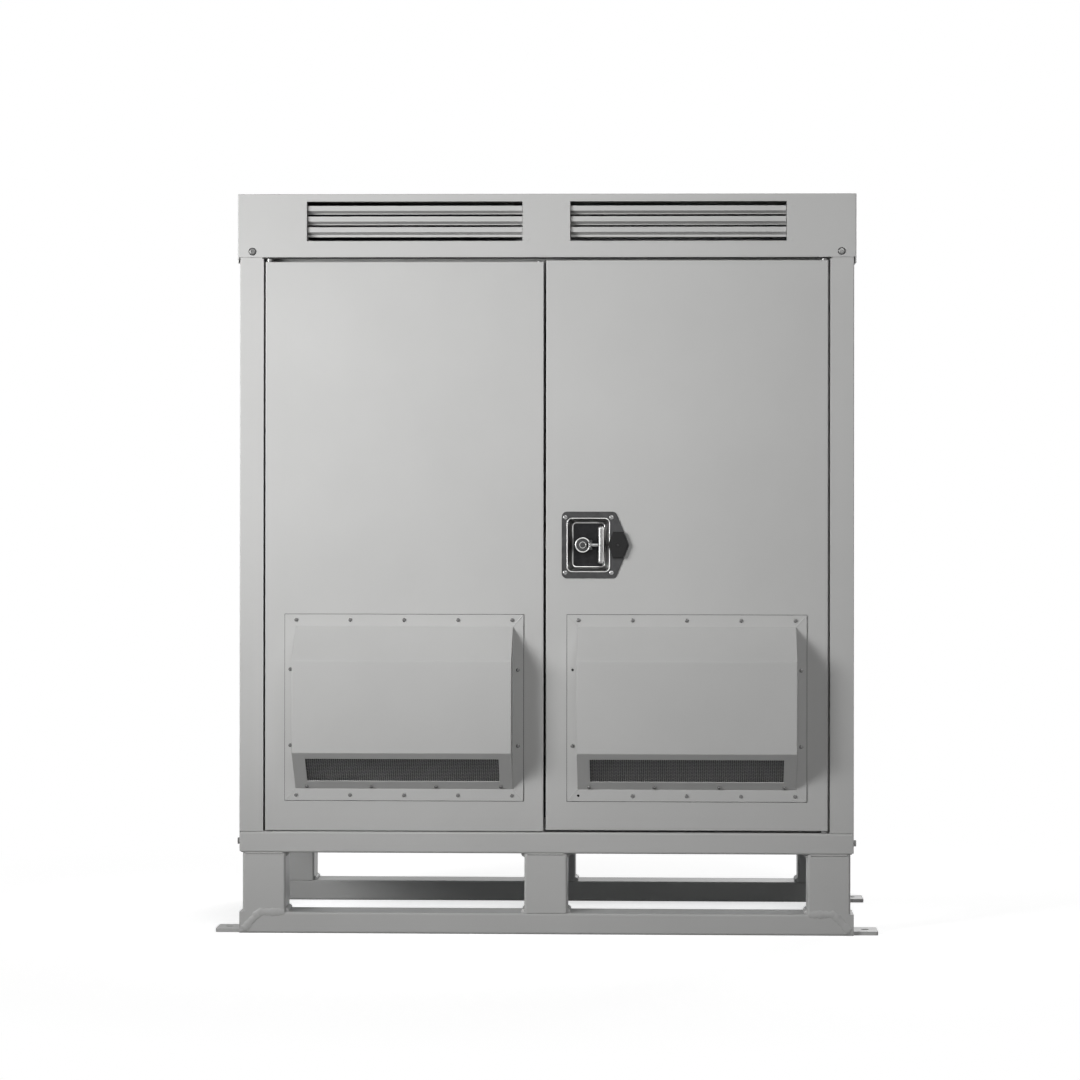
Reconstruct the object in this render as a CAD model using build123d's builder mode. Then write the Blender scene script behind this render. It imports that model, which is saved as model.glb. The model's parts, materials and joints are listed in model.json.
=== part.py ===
"""Two-door outdoor battery cabinet on a welded fork-lift skid.

Frame: +X to the right of someone facing the doors, -Y out of the doors, +Z up.
The origin is on the floor, under the centre of the cabinet's box. All sizes are millimetres.
"""

from build123d import *
import os
from math import atan2, cos, hypot, radians, sin, tau

os.makedirs("parts", exist_ok=True)

# ---------------------------------------------------------------- driving dimensions
# Enclosure
body_width = 1290          # over the side panels
body_depth = 700           # door fronts to the back of the rear panel
overall_height = 1555
sheet = 2                  # folded sheet of panels and doors
seat = 0.3                 # gap between curved or loose neighbours
jamb_width = 50            # front face of the folded upright beside each door
stop_lip = 28              # how far the door stop reaches behind a door's edge
rear_flange = 40
skirt_drop = 42            # how far the side and rear panels hang over the skid
panel_post_width = 44      # posts inside the folded uprights
panel_post_depth = 30
panel_post_wall = 2.5

# Skid
tube_height = 45           # top frame and bottom rails
tube_wall = 4
tube_corner = 5
rail_depth = 90            # bottom rails, front to back
rail_overhang = 7          # each end of a bottom rail past the post above it
post_side = 90
post_height = 125
post_inset = 4.5           # post faces behind the top frame's faces
top_rail_width = 50
bearer_spacing = 290
tab_reach = 52             # anchor tabs
tab_depth = 78
tab_thickness = 8
tab_hole_radius = 8.5
tab_hole_inset = 26        # hole centre from the tab's free end
tab_corner = 6
floor_thickness = 3
side_bolt_inset = 25       # outer side bolts from the front and rear faces
side_bolt_across = 13
side_bolt_head = 6
side_bolt_radius = 4

# Cover
cover_sheet = 2.5
cover_gap = 2
apron_drop = 133           # front and rear aprons, from the top
flange_extra = 12          # side flanges hang lower than the aprons
cover_corner = 2
louvre_width = 454
louvre_height = 83
louvre_top = 16            # top of an opening under the cover's top
louvre_spacing = 554       # centre to centre
blade_count = 3
blade_pitch = 22.6
blade_first = 8            # first blade's face under the opening's top
blade_face = 12
blade_slope = 4            # height of the fold behind the face
blade_lip = 4.5
blade_setback = 6          # lip behind the face
blade_root = 14            # rear edge of the blade behind its face
blade_rise = 8             # rear edge of the blade above its face
blade_sheet = 1.2
louvre_box_depth = 26
cover_screw_inset = 31     # from the cover's ends
cover_screw_rise = 12      # above the apron's lower edge
panel_screw_head = 3.6
panel_screw_height = 2.4
panel_screw_radius = 2.4
panel_screw_length = 9
rear_screw_rows = 5
rear_screw_inset = 22
rear_screw_margin = 60

# Doors
header_show = 2            # header below the apron's edge
door_depth = 30
door_lip = 20              # rear return of a door pan
door_edge_radius = 2
side_gap = 4               # hinge side
meeting_gap = 5
bottom_gap = 4.5
left_door_drop = 3         # the left door hangs a little lower
left_door_width = 586
header_wall = 2
header_setback = 0.5
gasket_width = 10
gasket_thickness = 3.7
gasket_inset = 9           # inboard of the hinge axis, so the seal lifts off its stop
hinge_pin_radius = 5
running_clearance = 0.05
pivot_inset = 8            # hinge axis from the door's edge and from its face
pivot_block = 16
pivot_block_height = 20
hinge_pin_engagement = 18
collar_radius = 8

# Slide bolts of the left door
bolt_radius = 5
bolt_length = 230
bolt_edge_inset = 11       # rod axis from the meeting edge
bolt_depth = 15            # rod axis behind the door's face
bolt_tip = 3               # rod tip past the door's edge when drawn back
bolt_travel = 15
bolt_hole_clearance = 1
bolt_guide_clearance = 0.1
bolt_guide_height = 14
bolt_guide_spacing = 120
bolt_knob_radius = 4
bolt_knob_reach = 24       # knob behind the door's rear lip
bolt_slot_clearance = 1
bolt_chamfer = 1

# Intake hoods
hood_flange_width = 502
hood_flange_height = 391
hood_flange_sheet = 2.5
hood_sheet = 2
hood_center_height = 476
hood_width = 457
hood_projection = 80       # front of a hood before the door's face
hood_top_margin = 25       # flange above and below the hood's body
hood_crease_drop = 69      # sloping roof of the hood
hood_slope_drop = 80        # height of the lower slope
mesh_margin = 26.5         # opening in from the sides of the slope
mesh_rise = 23.4           # opening above the slope's lower edge
mesh_offset = 18           # opening below the hood's lower crease, along the slope
mesh_overlap = 9
mesh_sheet = 1             # thickness of a wire
mesh_columns = 20
mesh_rows = 3
mesh_wire = 2.4            # width of a wire
hood_screw_inset = 11.5
hood_screw_pitch = 113.6
hood_side_screw_pitch = 159.6
hood_screw_head = 4
hood_screw_height = 2.6
hood_screw_radius = 2.4
hood_screw_length = 8
mesh_screw_pitch = 136
mesh_screw_inset = 7       # from the lower edge of the slope

# Filter and fans behind each hood
air_width = 350
air_height = 180
filter_overlap = 6
filter_thickness = 11
tray_rim = 12
fan_side = 150
fan_depth = 38
fan_pitch = 174
fan_bore = 72
fan_hub = 27
fan_blades = 7
blade_tip_clearance = 3
blade_thickness = 2
root_pitch = 50            # degrees across the fan's axis
tip_pitch = 28
root_chord = 24
tip_chord = 36
fan_hub_depth = 24
fan_shaft = 3
fan_strut = 8
fan_strut_depth = 4
fan_bearing = 7
fan_bearing_depth = 14

# Latch
latch_height = 818         # above the floor
latch_inset = 33           # plate from the right door's meeting edge
latch_plate_width = 115
latch_plate_height = 140
latch_plate = 2
latch_corner = 12
latch_ear_reach = 25
latch_ear_height = 123
pan_center = 56            # from the plate's meeting edge
pan_width = 86
pan_height = 109
pan_floor_width = 70
pan_floor_height = 96
pan_depth = 24
pan_sheet = 1.5
pan_corner = 9
bead_width = 3
bead_height = 2.5
rivet_inset = 7.5
rivet_span = 97
rivet_head = 5.2
rivet_height = 2
rivet_radius = 2.4
rivet_length = 6
hub_offset = 44            # hub axis from the plate's meeting edge
hub_radius = 16
hub_front = 2              # hub face behind the plate's front
fold_offset = 14.5         # fold pin from the hub's axis
fold_depth = 10            # fold pin behind the plate's front
fold_pin_radius = 2.5
knuckle_radius = 5
knuckle_length = 10
ear_thickness = 5
ear_setback = 2            # ears behind the hub's face
stem_radius = 4
handle_reach = 23.5        # fold pin to the T-bar's axis
t_bar_radius = 7
t_bar_length = 80
t_bar_rounding = 6
plug_radius = 7
plug_length = 14
plug_proud = 1             # lock plug in front of the hub
plug_chamfer = 0.6
keyway_width = 1.6
keyway_length = 8
latch_shaft_radius = 6
cam_depth = 35             # front of the cam behind the door's face
cam_thickness = 4
cam_width = 20
cam_clearance = 1.5        # cam tip short of the left door's edge
shaft_tail = 3
keeper_offset = 118.5      # keeper axis from the plate's meeting edge
keeper_half_width = 21.5
keeper_half_height = 27.5
keeper_shoulder = 10.5     # half the length of the keeper's top edge
keeper_front = 10          # keeper face in front of the plate
keeper_under = 3           # clear of the pan's bead
keeper_chamfer = 1.6
keeper_boss = 11
keeper_pin = 3

# Battery racks
rack_spacing = 580         # centre to centre of the two columns
rack_front = 150           # module fronts behind the door faces
exhaust_height = 85        # least room over the racks
module_pitch = 177.8       # four rack units
module_height = 170
module_width = 440
module_depth = 420
module_panel_width = 482.6
module_panel = 3
module_sheet = 1.5
first_module = 45          # lowest module above the floor plate
cell_length = 148
cell_thickness = 26
cell_height = 118
cell_gap = 27
cell_row_count = 7
rail_flange = 36
rail_return = 30
rail_sheet = 2.5
rail_top_margin = 60
runner_width = 26
runner_height = 16
runner_sheet = 2
handle_span = 90
handle_offset = 216        # handle from the module's centre
handle_reach_out = 34
handle_bar = 7
terminal_width = 24
terminal_height = 20
terminal_reach = 22
terminal_offset = 120
terminal_rise = 50
busbar_width = 20
busbar_thickness = 5
breaker_panel_height = 86
breaker_width = 72
breaker_height = 110
breaker_depth = 74
breaker_nose = 14
breaker_nose_height = 46
toggle_pin = 3
toggle_root = 8
toggle_width = 16
toggle_length = 26
toggle_thickness = 7
toggle_slot_clearance = 0.4
toggle_rest = 25           # degrees above level when on

# ---------------------------------------------------------------- places worked out from them
hood_reach = hood_projection
rear_reach = max(cover_gap + cover_sheet, panel_screw_height)
front_y = (hood_reach - body_depth - rear_reach) / 2
back_y = front_y + body_depth
half_width = body_width / 2
jamb_x = half_width - jamb_width
skid_height = 2 * tube_height + post_height
stop_depth = door_depth + gasket_thickness + seat
panel_top = overall_height - cover_sheet
apron_bottom = overall_height - apron_drop
header_bottom = apron_bottom - header_show
door_height = header_bottom - skid_height - 2 * bottom_gap
louvre_high = overall_height - louvre_top
louvre_low = louvre_high - louvre_height
header_top = louvre_low - cover_sheet
skid_half_x = half_width - sheet
skid_rear_y = back_y - sheet
skid_mid_y = (front_y + skid_rear_y) / 2
post_half_x = skid_half_x - post_inset
post_front_y = front_y + post_inset
post_rear_y = skid_rear_y - post_inset
rail_half_x = post_half_x + rail_overhang
floor_z = skid_height + floor_thickness

left_door_x = -jamb_x + side_gap
right_door_x = left_door_x + left_door_width + meeting_gap
right_door_width = jamb_x - side_gap - right_door_x
right_door_z = skid_height + bottom_gap
left_door_z = right_door_z - left_door_drop
left_door_center = left_door_x + left_door_width / 2
right_door_center = right_door_x + right_door_width / 2
pivot_y = front_y + pivot_inset
left_pivot_x = left_door_x + pivot_inset
right_pivot_x = right_door_x + right_door_width - pivot_inset
air_z = hood_center_height

latch_x = right_door_x + latch_inset
latch_face = Plane(origin=(latch_x, front_y, latch_height), x_dir=(1, 0, 0), z_dir=(0, -1, 0))
hub_x = latch_x + hub_offset


def face_at(depth):
    """The plane facing the viewer, this far behind the door faces: its x is +X and its y is +Z."""
    return Plane.XZ.offset(-(front_y + depth))


def folded_strip(plane, points, thickness):
    """The section of a folded sheet: its outer line and its thickness, to the left of the line."""
    with BuildSketch(plane) as section:
        with BuildLine():
            Polyline(*points)
            offset(amount=thickness, side=Side.LEFT)
        make_face()
    return section.sketch


# ---------------------------------------------------------------- skid
mitre_left = Plane(origin=(-rail_half_x, 0, 0), x_dir=(0, 1, 0), z_dir=(-1, 0, 1))
mitre_right = Plane(origin=(rail_half_x, 0, 0), x_dir=(0, 1, 0), z_dir=(1, 0, 1))

with BuildPart() as skid_bottom_rails:
    with BuildSketch(Plane.YZ.offset(-rail_half_x)):
        with Locations((post_front_y + rail_depth / 2, tube_height / 2)):
            RectangleRounded(rail_depth, tube_height, tube_corner)
            Rectangle(rail_depth - 2 * tube_wall, tube_height - 2 * tube_wall, mode=Mode.SUBTRACT)
    extrude(amount=2 * rail_half_x)
    split(bisect_by=mitre_left, keep=Keep.BOTTOM)
    split(bisect_by=mitre_right, keep=Keep.BOTTOM)
    mirror(about=Plane.XZ.offset(-skid_mid_y))

with BuildPart() as skid_rail_ends:
    with BuildSketch(Plane.XZ.offset(-post_front_y)):
        Polygon(
            (-rail_half_x, 0),
            (-rail_half_x + tube_height, tube_height),
            (-rail_half_x, tube_height),
            align=None,
        )
    extrude(amount=-rail_depth)
    mirror(about=Plane.YZ)
    mirror(about=Plane.XZ.offset(-skid_mid_y))

with BuildPart() as skid_posts:
    with BuildSketch(Plane.XY.offset(tube_height)):
        with Locations((0, skid_mid_y)):
            with GridLocations(post_half_x - post_side / 2, post_rear_y - post_front_y - post_side, 3, 2):
                RectangleRounded(post_side, post_side, tube_corner)
                Rectangle(post_side - 2 * tube_wall, post_side - 2 * tube_wall, mode=Mode.SUBTRACT)
    extrude(amount=post_height)


def top_frame_tube(plane, along, length):
    """One tube of the top frame, its section centred at along on the plane."""
    with BuildPart() as tube:
        with BuildSketch(plane):
            with Locations((along, skid_height - tube_height / 2)):
                RectangleRounded(top_rail_width, tube_height, tube_corner)
                Rectangle(top_rail_width - 2 * tube_wall, tube_height - 2 * tube_wall, mode=Mode.SUBTRACT)
        extrude(amount=length)
    return tube.part


front_corner_mitre = Plane(origin=(skid_half_x, front_y, 0), x_dir=(0, 0, 1), z_dir=(1, 1, 0))
front_other_mitre = Plane(origin=(-skid_half_x, front_y, 0), x_dir=(0, 0, 1), z_dir=(-1, 1, 0))
rear_corner_mitre = Plane(origin=(skid_half_x, skid_rear_y, 0), x_dir=(0, 0, 1), z_dir=(1, -1, 0))

with BuildPart() as skid_long_rails:
    add(top_frame_tube(Plane.YZ.offset(-skid_half_x), front_y + top_rail_width / 2, 2 * skid_half_x))
    split(bisect_by=front_corner_mitre, keep=Keep.BOTTOM)
    split(bisect_by=front_other_mitre, keep=Keep.BOTTOM)
    with Locations((left_door_x + left_door_width - bolt_edge_inset, front_y + bolt_depth, skid_height)):
        Cylinder(bolt_radius + bolt_hole_clearance, 2 * tube_wall, mode=Mode.SUBTRACT)
    add(mirror(skid_long_rails.part, about=Plane.XZ.offset(-skid_mid_y), mode=Mode.PRIVATE))

with BuildPart() as skid_side_rails:
    side_rail_x = skid_half_x - top_rail_width / 2
    add(top_frame_tube(Plane.XZ.offset(-skid_rear_y), side_rail_x, skid_rear_y - front_y))
    split(bisect_by=front_corner_mitre, keep=Keep.TOP)
    split(bisect_by=rear_corner_mitre, keep=Keep.TOP)
    mirror(about=Plane.YZ)

bearer_length = skid_rear_y - front_y - 2 * top_rail_width
with BuildPart() as skid_bearers:
    for step in (-1, 0, 1):
        add(top_frame_tube(
            Plane.XZ.offset(-(skid_rear_y - top_rail_width)), step * bearer_spacing, bearer_length))

with BuildPart() as anchor_tabs:
    with BuildSketch(Plane.XY):
        with Locations((rail_half_x + tab_reach / 2, post_front_y + rail_depth - tab_depth / 2)):
            Rectangle(tab_reach, tab_depth)
    extrude(amount=tab_thickness)
    fillet(anchor_tabs.edges().filter_by(Axis.Z).group_by(Axis.X)[-1], tab_corner)
    hole_x = rail_half_x + tab_reach - tab_hole_inset
    with Locations((hole_x, post_front_y + rail_depth - tab_depth / 2, tab_thickness)):
        Hole(tab_hole_radius)
    mirror(about=Plane.YZ)
    mirror(about=Plane.XZ.offset(-skid_mid_y))

with BuildPart() as floor_plate:
    with BuildSketch(Plane.XY.offset(skid_height)):
        with Locations((0, (front_y + back_y) / 2)):
            Rectangle(2 * (jamb_x - sheet), body_depth - 2 * rear_flange)
    extrude(amount=floor_thickness)

side_bolt_ys = (front_y + side_bolt_inset, skid_mid_y, skid_rear_y - side_bolt_inset)
side_bolt_z = skid_height - tube_height / 2
side_bolt_hole = side_bolt_radius + seat   # through the skirt and the side rail behind it

with BuildPart() as side_bolts:
    for y in side_bolt_ys:
        with BuildSketch(Plane.YZ.offset(half_width)):
            with Locations((y, side_bolt_z)):
                RegularPolygon(side_bolt_across / 2, 6, major_radius=False)
        extrude(amount=side_bolt_head)
        with BuildSketch(Plane.YZ.offset(half_width)):
            with Locations((y, side_bolt_z)):
                Circle(side_bolt_radius)
        extrude(amount=-sheet - tube_wall)
    mirror(about=Plane.YZ)


# ---------------------------------------------------------------- enclosure panels
side_points = [
    (-half_width + rear_flange, back_y - sheet),
    (-half_width, back_y - sheet),
    (-half_width, front_y),
    (-jamb_x, front_y),
    (-jamb_x, front_y + stop_depth),
    (-jamb_x + stop_lip, front_y + stop_depth),
]

with BuildPart() as left_side_panel:
    extrude(
        folded_strip(Plane.XY.offset(skid_height), side_points, sheet),
        amount=panel_top - skid_height,
        dir=(0, 0, 1),
    )
    with BuildSketch(Plane.XY.offset(skid_height)):
        with Locations((-half_width + sheet / 2, (front_y + back_y - sheet) / 2)):
            Rectangle(sheet, body_depth - sheet)
    extrude(amount=-skirt_drop)
    with BuildSketch(Plane.YZ.offset(-half_width)):
        for y in side_bolt_ys:
            with Locations((y, side_bolt_z)):
                Circle(side_bolt_hole)
    extrude(amount=sheet, mode=Mode.SUBTRACT)

with BuildPart() as right_side_panel:
    mirror(left_side_panel.part, about=Plane.YZ)

with BuildPart(mode=Mode.PRIVATE) as bolt_bores:
    with BuildSketch(Plane.YZ.offset(-half_width)):
        for y in side_bolt_ys:
            with Locations((y, side_bolt_z)):
                Circle(side_bolt_hole)
    extrude(amount=2 * tube_wall)
    mirror(about=Plane.YZ)

with skid_side_rails:
    add(bolt_bores.part, mode=Mode.SUBTRACT)

with BuildPart() as corner_posts:
    with BuildSketch(Plane.XY.offset(skid_height)):
        front_post = (half_width - sheet - panel_post_width / 2, front_y + sheet + panel_post_depth / 2)
        rear_post = (front_post[0], back_y - 2 * sheet - panel_post_depth / 2)
        with Locations(front_post, rear_post):
            Rectangle(panel_post_width, panel_post_depth)
            Rectangle(
                panel_post_width - 2 * panel_post_wall,
                panel_post_depth - 2 * panel_post_wall,
                mode=Mode.SUBTRACT,
            )
    extrude(amount=panel_top - skid_height)
    mirror(about=Plane.YZ)

rear_screw_pitch = (apron_bottom - skid_height - 2 * rear_screw_margin) / (rear_screw_rows - 1)
rear_mid_z = (apron_bottom + skid_height) / 2
rear_screw_span = body_width - 2 * rear_screw_inset

with BuildPart() as rear_panel:
    with BuildSketch(Plane.XZ.offset(-back_y)):
        with Locations((0, (panel_top + skid_height - skirt_drop) / 2)):
            Rectangle(body_width, panel_top - skid_height + skirt_drop)
    extrude(amount=sheet)
    with BuildSketch(Plane.XZ.offset(-back_y)):
        with Locations((0, rear_mid_z)):
            with GridLocations(rear_screw_span, rear_screw_pitch, 2, rear_screw_rows):
                Circle(panel_screw_radius + seat)
    extrude(amount=sheet, mode=Mode.SUBTRACT)

bolt_x = left_door_x + left_door_width - bolt_edge_inset
bolt_y = front_y + bolt_depth

with BuildPart() as header:
    with BuildSketch(Plane.YZ.offset(-jamb_x)):
        with Locations(((2 * front_y + stop_depth + header_setback) / 2, (header_bottom + header_top) / 2)):
            Rectangle(stop_depth - header_setback, header_top - header_bottom)
            Rectangle(
                stop_depth - header_setback - 2 * header_wall,
                header_top - header_bottom - 2 * header_wall,
                mode=Mode.SUBTRACT,
            )
    extrude(amount=2 * jamb_x)
    with Locations((bolt_x, bolt_y, header_bottom)):
        Cylinder(bolt_radius + bolt_hole_clearance, 2 * header_wall + seat, mode=Mode.SUBTRACT)

with BuildPart() as stop_strips:
    with BuildSketch(face_at(stop_depth)):
        with Locations((0, (header_top + header_bottom - stop_lip) / 2)):
            Rectangle(2 * (jamb_x - stop_lip), header_top - header_bottom + stop_lip)
        with Locations((0, skid_height + stop_lip / 2)):
            Rectangle(2 * (jamb_x - stop_lip), stop_lip)
    extrude(amount=-sheet)

# ---------------------------------------------------------------- roof cover and louvres
cover_half_x = half_width + cover_gap + cover_sheet
cover_front = front_y - header_setback - cover_sheet
cover_rear = back_y + cover_gap + cover_sheet
cover_depth = cover_rear - cover_front
cover_mid_y = (cover_front + cover_rear) / 2

with BuildPart() as roof_cover:
    with BuildSketch(Plane.XY.offset(overall_height)):
        with Locations((0, cover_mid_y)):
            Rectangle(2 * cover_half_x, cover_depth)
    extrude(amount=-(apron_drop + flange_extra))
    fillet(roof_cover.faces().sort_by(Axis.Z)[-1].edges(), cover_corner)
    with BuildSketch(Plane.XY.offset(panel_top)):
        with Locations((0, cover_mid_y)):
            Rectangle(2 * (cover_half_x - cover_sheet), cover_depth - 2 * cover_sheet)
    extrude(amount=-(apron_drop + flange_extra), mode=Mode.SUBTRACT)
    with BuildSketch(Plane.XZ.offset(-cover_front)):
        with Locations((0, apron_bottom - flange_extra / 2)):
            Rectangle(2 * (cover_half_x - cover_sheet), flange_extra)
    extrude(amount=-cover_depth, mode=Mode.SUBTRACT)
    with BuildSketch(Plane.XZ.offset(-cover_front)):
        with Locations((0, (louvre_high + louvre_low) / 2)):
            with GridLocations(louvre_spacing, 0, 2, 1):
                Rectangle(louvre_width, louvre_height)
    extrude(amount=-cover_sheet, mode=Mode.SUBTRACT)
    with BuildSketch(Plane.XZ.offset(-cover_front)):
        with Locations((0, apron_bottom + cover_screw_rise)):
            with GridLocations(2 * (cover_half_x - cover_screw_inset), 0, 2, 1):
                Circle(panel_screw_radius + seat)
    extrude(amount=-cover_sheet, mode=Mode.SUBTRACT)

with BuildPart() as louvre_boxes:
    with BuildSketch(Plane.XZ.offset(-(cover_front + cover_sheet))):
        with Locations((0, (louvre_high + louvre_low) / 2)):
            with GridLocations(louvre_spacing, 0, 2, 1):
                Rectangle(louvre_width + 2 * blade_sheet, louvre_height + 2 * blade_sheet)
                Rectangle(louvre_width, louvre_height, mode=Mode.SUBTRACT)
    extrude(amount=-louvre_box_depth)

blade_y = cover_front + cover_sheet
with BuildPart() as louvre_blades:
    for row in range(blade_count):
        top = louvre_high - blade_first - row * blade_pitch
        blade_points = [
            (blade_y + blade_root, top + blade_rise),
            (blade_y + blade_root, top),
            (blade_y, top),
            (blade_y, top - blade_face),
            (blade_y + blade_setback, top - blade_face - blade_slope),
            (blade_y + blade_setback, top - blade_face - blade_slope - blade_lip),
        ]
        blade = folded_strip(Plane.YZ.offset((louvre_spacing - louvre_width) / 2), blade_points, blade_sheet)
        extrude(blade, amount=louvre_width, dir=(1, 0, 0))
    mirror(about=Plane.YZ)

screw_face = Plane.XZ.offset(-cover_front)
with BuildPart() as panel_screws:
    for radius, length in ((panel_screw_head, panel_screw_height), (panel_screw_radius, -panel_screw_length)):
        with BuildSketch(screw_face):
            with Locations((0, apron_bottom + cover_screw_rise)):
                with GridLocations(2 * (cover_half_x - cover_screw_inset), 0, 2, 1):
                    Circle(radius)
        extrude(amount=length)
        with BuildSketch(Plane.XZ.offset(-back_y)):
            with Locations((0, rear_mid_z)):
                with GridLocations(rear_screw_span, rear_screw_pitch, 2, rear_screw_rows):
                    Circle(radius)
        extrude(amount=-length)

with BuildPart(mode=Mode.PRIVATE) as panel_screw_bores:
    with BuildSketch(screw_face):
        with Locations((0, apron_bottom + cover_screw_rise)):
            with GridLocations(2 * (cover_half_x - cover_screw_inset), 0, 2, 1):
                Circle(panel_screw_radius + seat)
    extrude(amount=-(panel_screw_length + seat))
    with BuildSketch(Plane.XZ.offset(-back_y)):
        with Locations((0, rear_mid_z)):
            with GridLocations(rear_screw_span, rear_screw_pitch, 2, rear_screw_rows):
                Circle(panel_screw_radius + seat)
    extrude(amount=panel_screw_length + seat)

for screwed in (left_side_panel, right_side_panel, corner_posts):
    with screwed:
        add(panel_screw_bores.part, mode=Mode.SUBTRACT)

# ---------------------------------------------------------------- hinge pins
with BuildPart() as hinge_pins:
    for pivot_x, door_z in ((left_pivot_x, left_door_z), (right_pivot_x, right_door_z)):
        door_top = door_z + door_height
        for radius, low, high in (
            (hinge_pin_radius, skid_height, door_z + hinge_pin_engagement),
            (collar_radius, skid_height, door_z - seat),
            (hinge_pin_radius, door_top - hinge_pin_engagement, header_bottom),
            (collar_radius, door_top + seat, header_bottom),
        ):
            with BuildSketch(Plane.XY.offset(low)):
                with Locations((pivot_x, pivot_y)):
                    Circle(radius)
            extrude(amount=high - low)


# ---------------------------------------------------------------- doors
def hood_screw_places(center_x):
    """The flange screws of a hood: a row above, a row below and two down each side."""
    flange_rows = GridLocations(hood_screw_pitch, hood_flange_height - 2 * hood_screw_inset, 5, 2)
    flange_sides = GridLocations(hood_flange_width - 2 * hood_screw_inset, hood_side_screw_pitch, 2, 2)
    offsets = [place.position for place in flange_rows] + [place.position for place in flange_sides]
    return [(center_x + spot.X, hood_center_height + spot.Y) for spot in offsets]


def door_pan(left, bottom, width, pivot_x):
    """A folded door: front sheet, four returns, rear lips, pivot blocks and the air opening."""
    middle = left + width / 2
    screw_places = hood_screw_places(middle)
    with BuildPart() as pan:
        with BuildSketch(face_at(0)):
            with Locations((middle, bottom + door_height / 2)):
                Rectangle(width, door_height)
        extrude(amount=-door_depth)
        fillet(pan.faces().sort_by(Axis.Y)[0].edges(), door_edge_radius)
        with BuildSketch(face_at(sheet)):
            with Locations((middle, bottom + door_height / 2)):
                Rectangle(width - 2 * sheet, door_height - 2 * sheet)
        extrude(amount=-(door_depth - 2 * sheet), mode=Mode.SUBTRACT)
        with BuildSketch(face_at(door_depth)):
            with Locations((middle, bottom + door_height / 2)):
                Rectangle(width - 2 * door_lip, door_height - 2 * door_lip)
        extrude(amount=sheet, mode=Mode.SUBTRACT)
        with BuildSketch(Plane.XY.offset(bottom + sheet)):
            with Locations((pivot_x, front_y + sheet + pivot_block / 2)):
                Rectangle(pivot_block - 2 * sheet, pivot_block)
        extrude(amount=pivot_block_height)
        with BuildSketch(Plane.XY.offset(bottom + door_height - sheet)):
            with Locations((pivot_x, front_y + sheet + pivot_block / 2)):
                Rectangle(pivot_block - 2 * sheet, pivot_block)
        extrude(amount=-pivot_block_height)
        with BuildSketch(Plane.XY.offset(bottom)):
            with Locations((pivot_x, pivot_y)):
                Circle(hinge_pin_radius + running_clearance)
        extrude(amount=hinge_pin_engagement + seat, mode=Mode.SUBTRACT)
        with BuildSketch(Plane.XY.offset(bottom + door_height)):
            with Locations((pivot_x, pivot_y)):
                Circle(hinge_pin_radius + running_clearance)
        extrude(amount=-(hinge_pin_engagement + seat), mode=Mode.SUBTRACT)
        with BuildSketch(face_at(0)):
            with Locations((middle, air_z)):
                Rectangle(air_width, air_height)
            with Locations(*screw_places):
                Circle(hood_screw_radius + seat)
        extrude(amount=-sheet, mode=Mode.SUBTRACT)
    return pan.part


def door_gasket(left, bottom, width):
    """The seal on a door's rear lips, one closed ring."""
    outer_width = width - 2 * gasket_inset
    outer_height = door_height - 2 * gasket_inset
    with BuildPart() as ring:
        with BuildSketch(face_at(door_depth)):
            with Locations((left + width / 2, bottom + door_height / 2)):
                Rectangle(outer_width, outer_height)
                Rectangle(outer_width - 2 * gasket_width, outer_height - 2 * gasket_width, mode=Mode.SUBTRACT)
        extrude(amount=-gasket_thickness)
    return ring.part


upper_bolt_top = left_door_z + door_height + bolt_tip
lower_bolt_bottom = left_door_z
upper_knob_z = upper_bolt_top - bolt_length + bolt_guide_height
lower_knob_z = lower_bolt_bottom + bolt_length - bolt_guide_height
door_top_z = left_door_z + door_height
guide_heights = [
    door_top_z - bolt_guide_height,
    door_top_z - bolt_guide_height - bolt_guide_spacing,
    left_door_z + bolt_guide_height,
    left_door_z + bolt_guide_height + bolt_guide_spacing,
]
slot_half = bolt_knob_radius + bolt_slot_clearance

with BuildPart() as left_door:
    add(door_pan(left_door_x, left_door_z, left_door_width, left_pivot_x))
    for z in guide_heights:
        with BuildSketch(Plane.XY.offset(z - bolt_guide_height / 2)):
            with Locations((bolt_x + (bolt_edge_inset - sheet) / 2 - bolt_radius / 2, bolt_y)):
                Rectangle(bolt_edge_inset - sheet + bolt_radius + sheet, 2 * (bolt_radius + sheet))
        extrude(amount=bolt_guide_height)
    with BuildSketch(Plane.XY.offset(left_door_z)):
        with Locations((bolt_x, bolt_y)):
            Circle(bolt_radius + bolt_guide_clearance)
    extrude(amount=door_height, mode=Mode.SUBTRACT)
    with BuildSketch(face_at(door_depth)):
        for z, travel in ((upper_knob_z, bolt_travel), (lower_knob_z, -bolt_travel)):
            with Locations((bolt_x, z + travel / 2)):
                Rectangle(2 * slot_half, bolt_travel + 2 * slot_half)
    extrude(amount=sheet, mode=Mode.SUBTRACT)


def slide_bolt(low, knob_z):
    """One slide bolt: a round rod with a knob that reaches back through the door's rear lip."""
    with BuildPart() as rod:
        with BuildSketch(Plane.XY.offset(low)):
            with Locations((bolt_x, bolt_y)):
                Circle(bolt_radius)
        extrude(amount=bolt_length)
        chamfer(rod.edges().filter_by(GeomType.CIRCLE), bolt_chamfer)
        with BuildSketch(face_at(bolt_depth)):
            with Locations((bolt_x, knob_z)):
                Circle(bolt_knob_radius)
        extrude(amount=-(door_depth - bolt_depth + bolt_knob_reach))
    return rod.part


with BuildPart() as upper_bolt:
    add(slide_bolt(upper_bolt_top - bolt_length, upper_knob_z))

with BuildPart() as lower_bolt:
    add(slide_bolt(lower_bolt_bottom, lower_knob_z))

pan_half_width = pan_width / 2 + pan_sheet
pan_half_height = pan_height / 2 + pan_sheet

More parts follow.
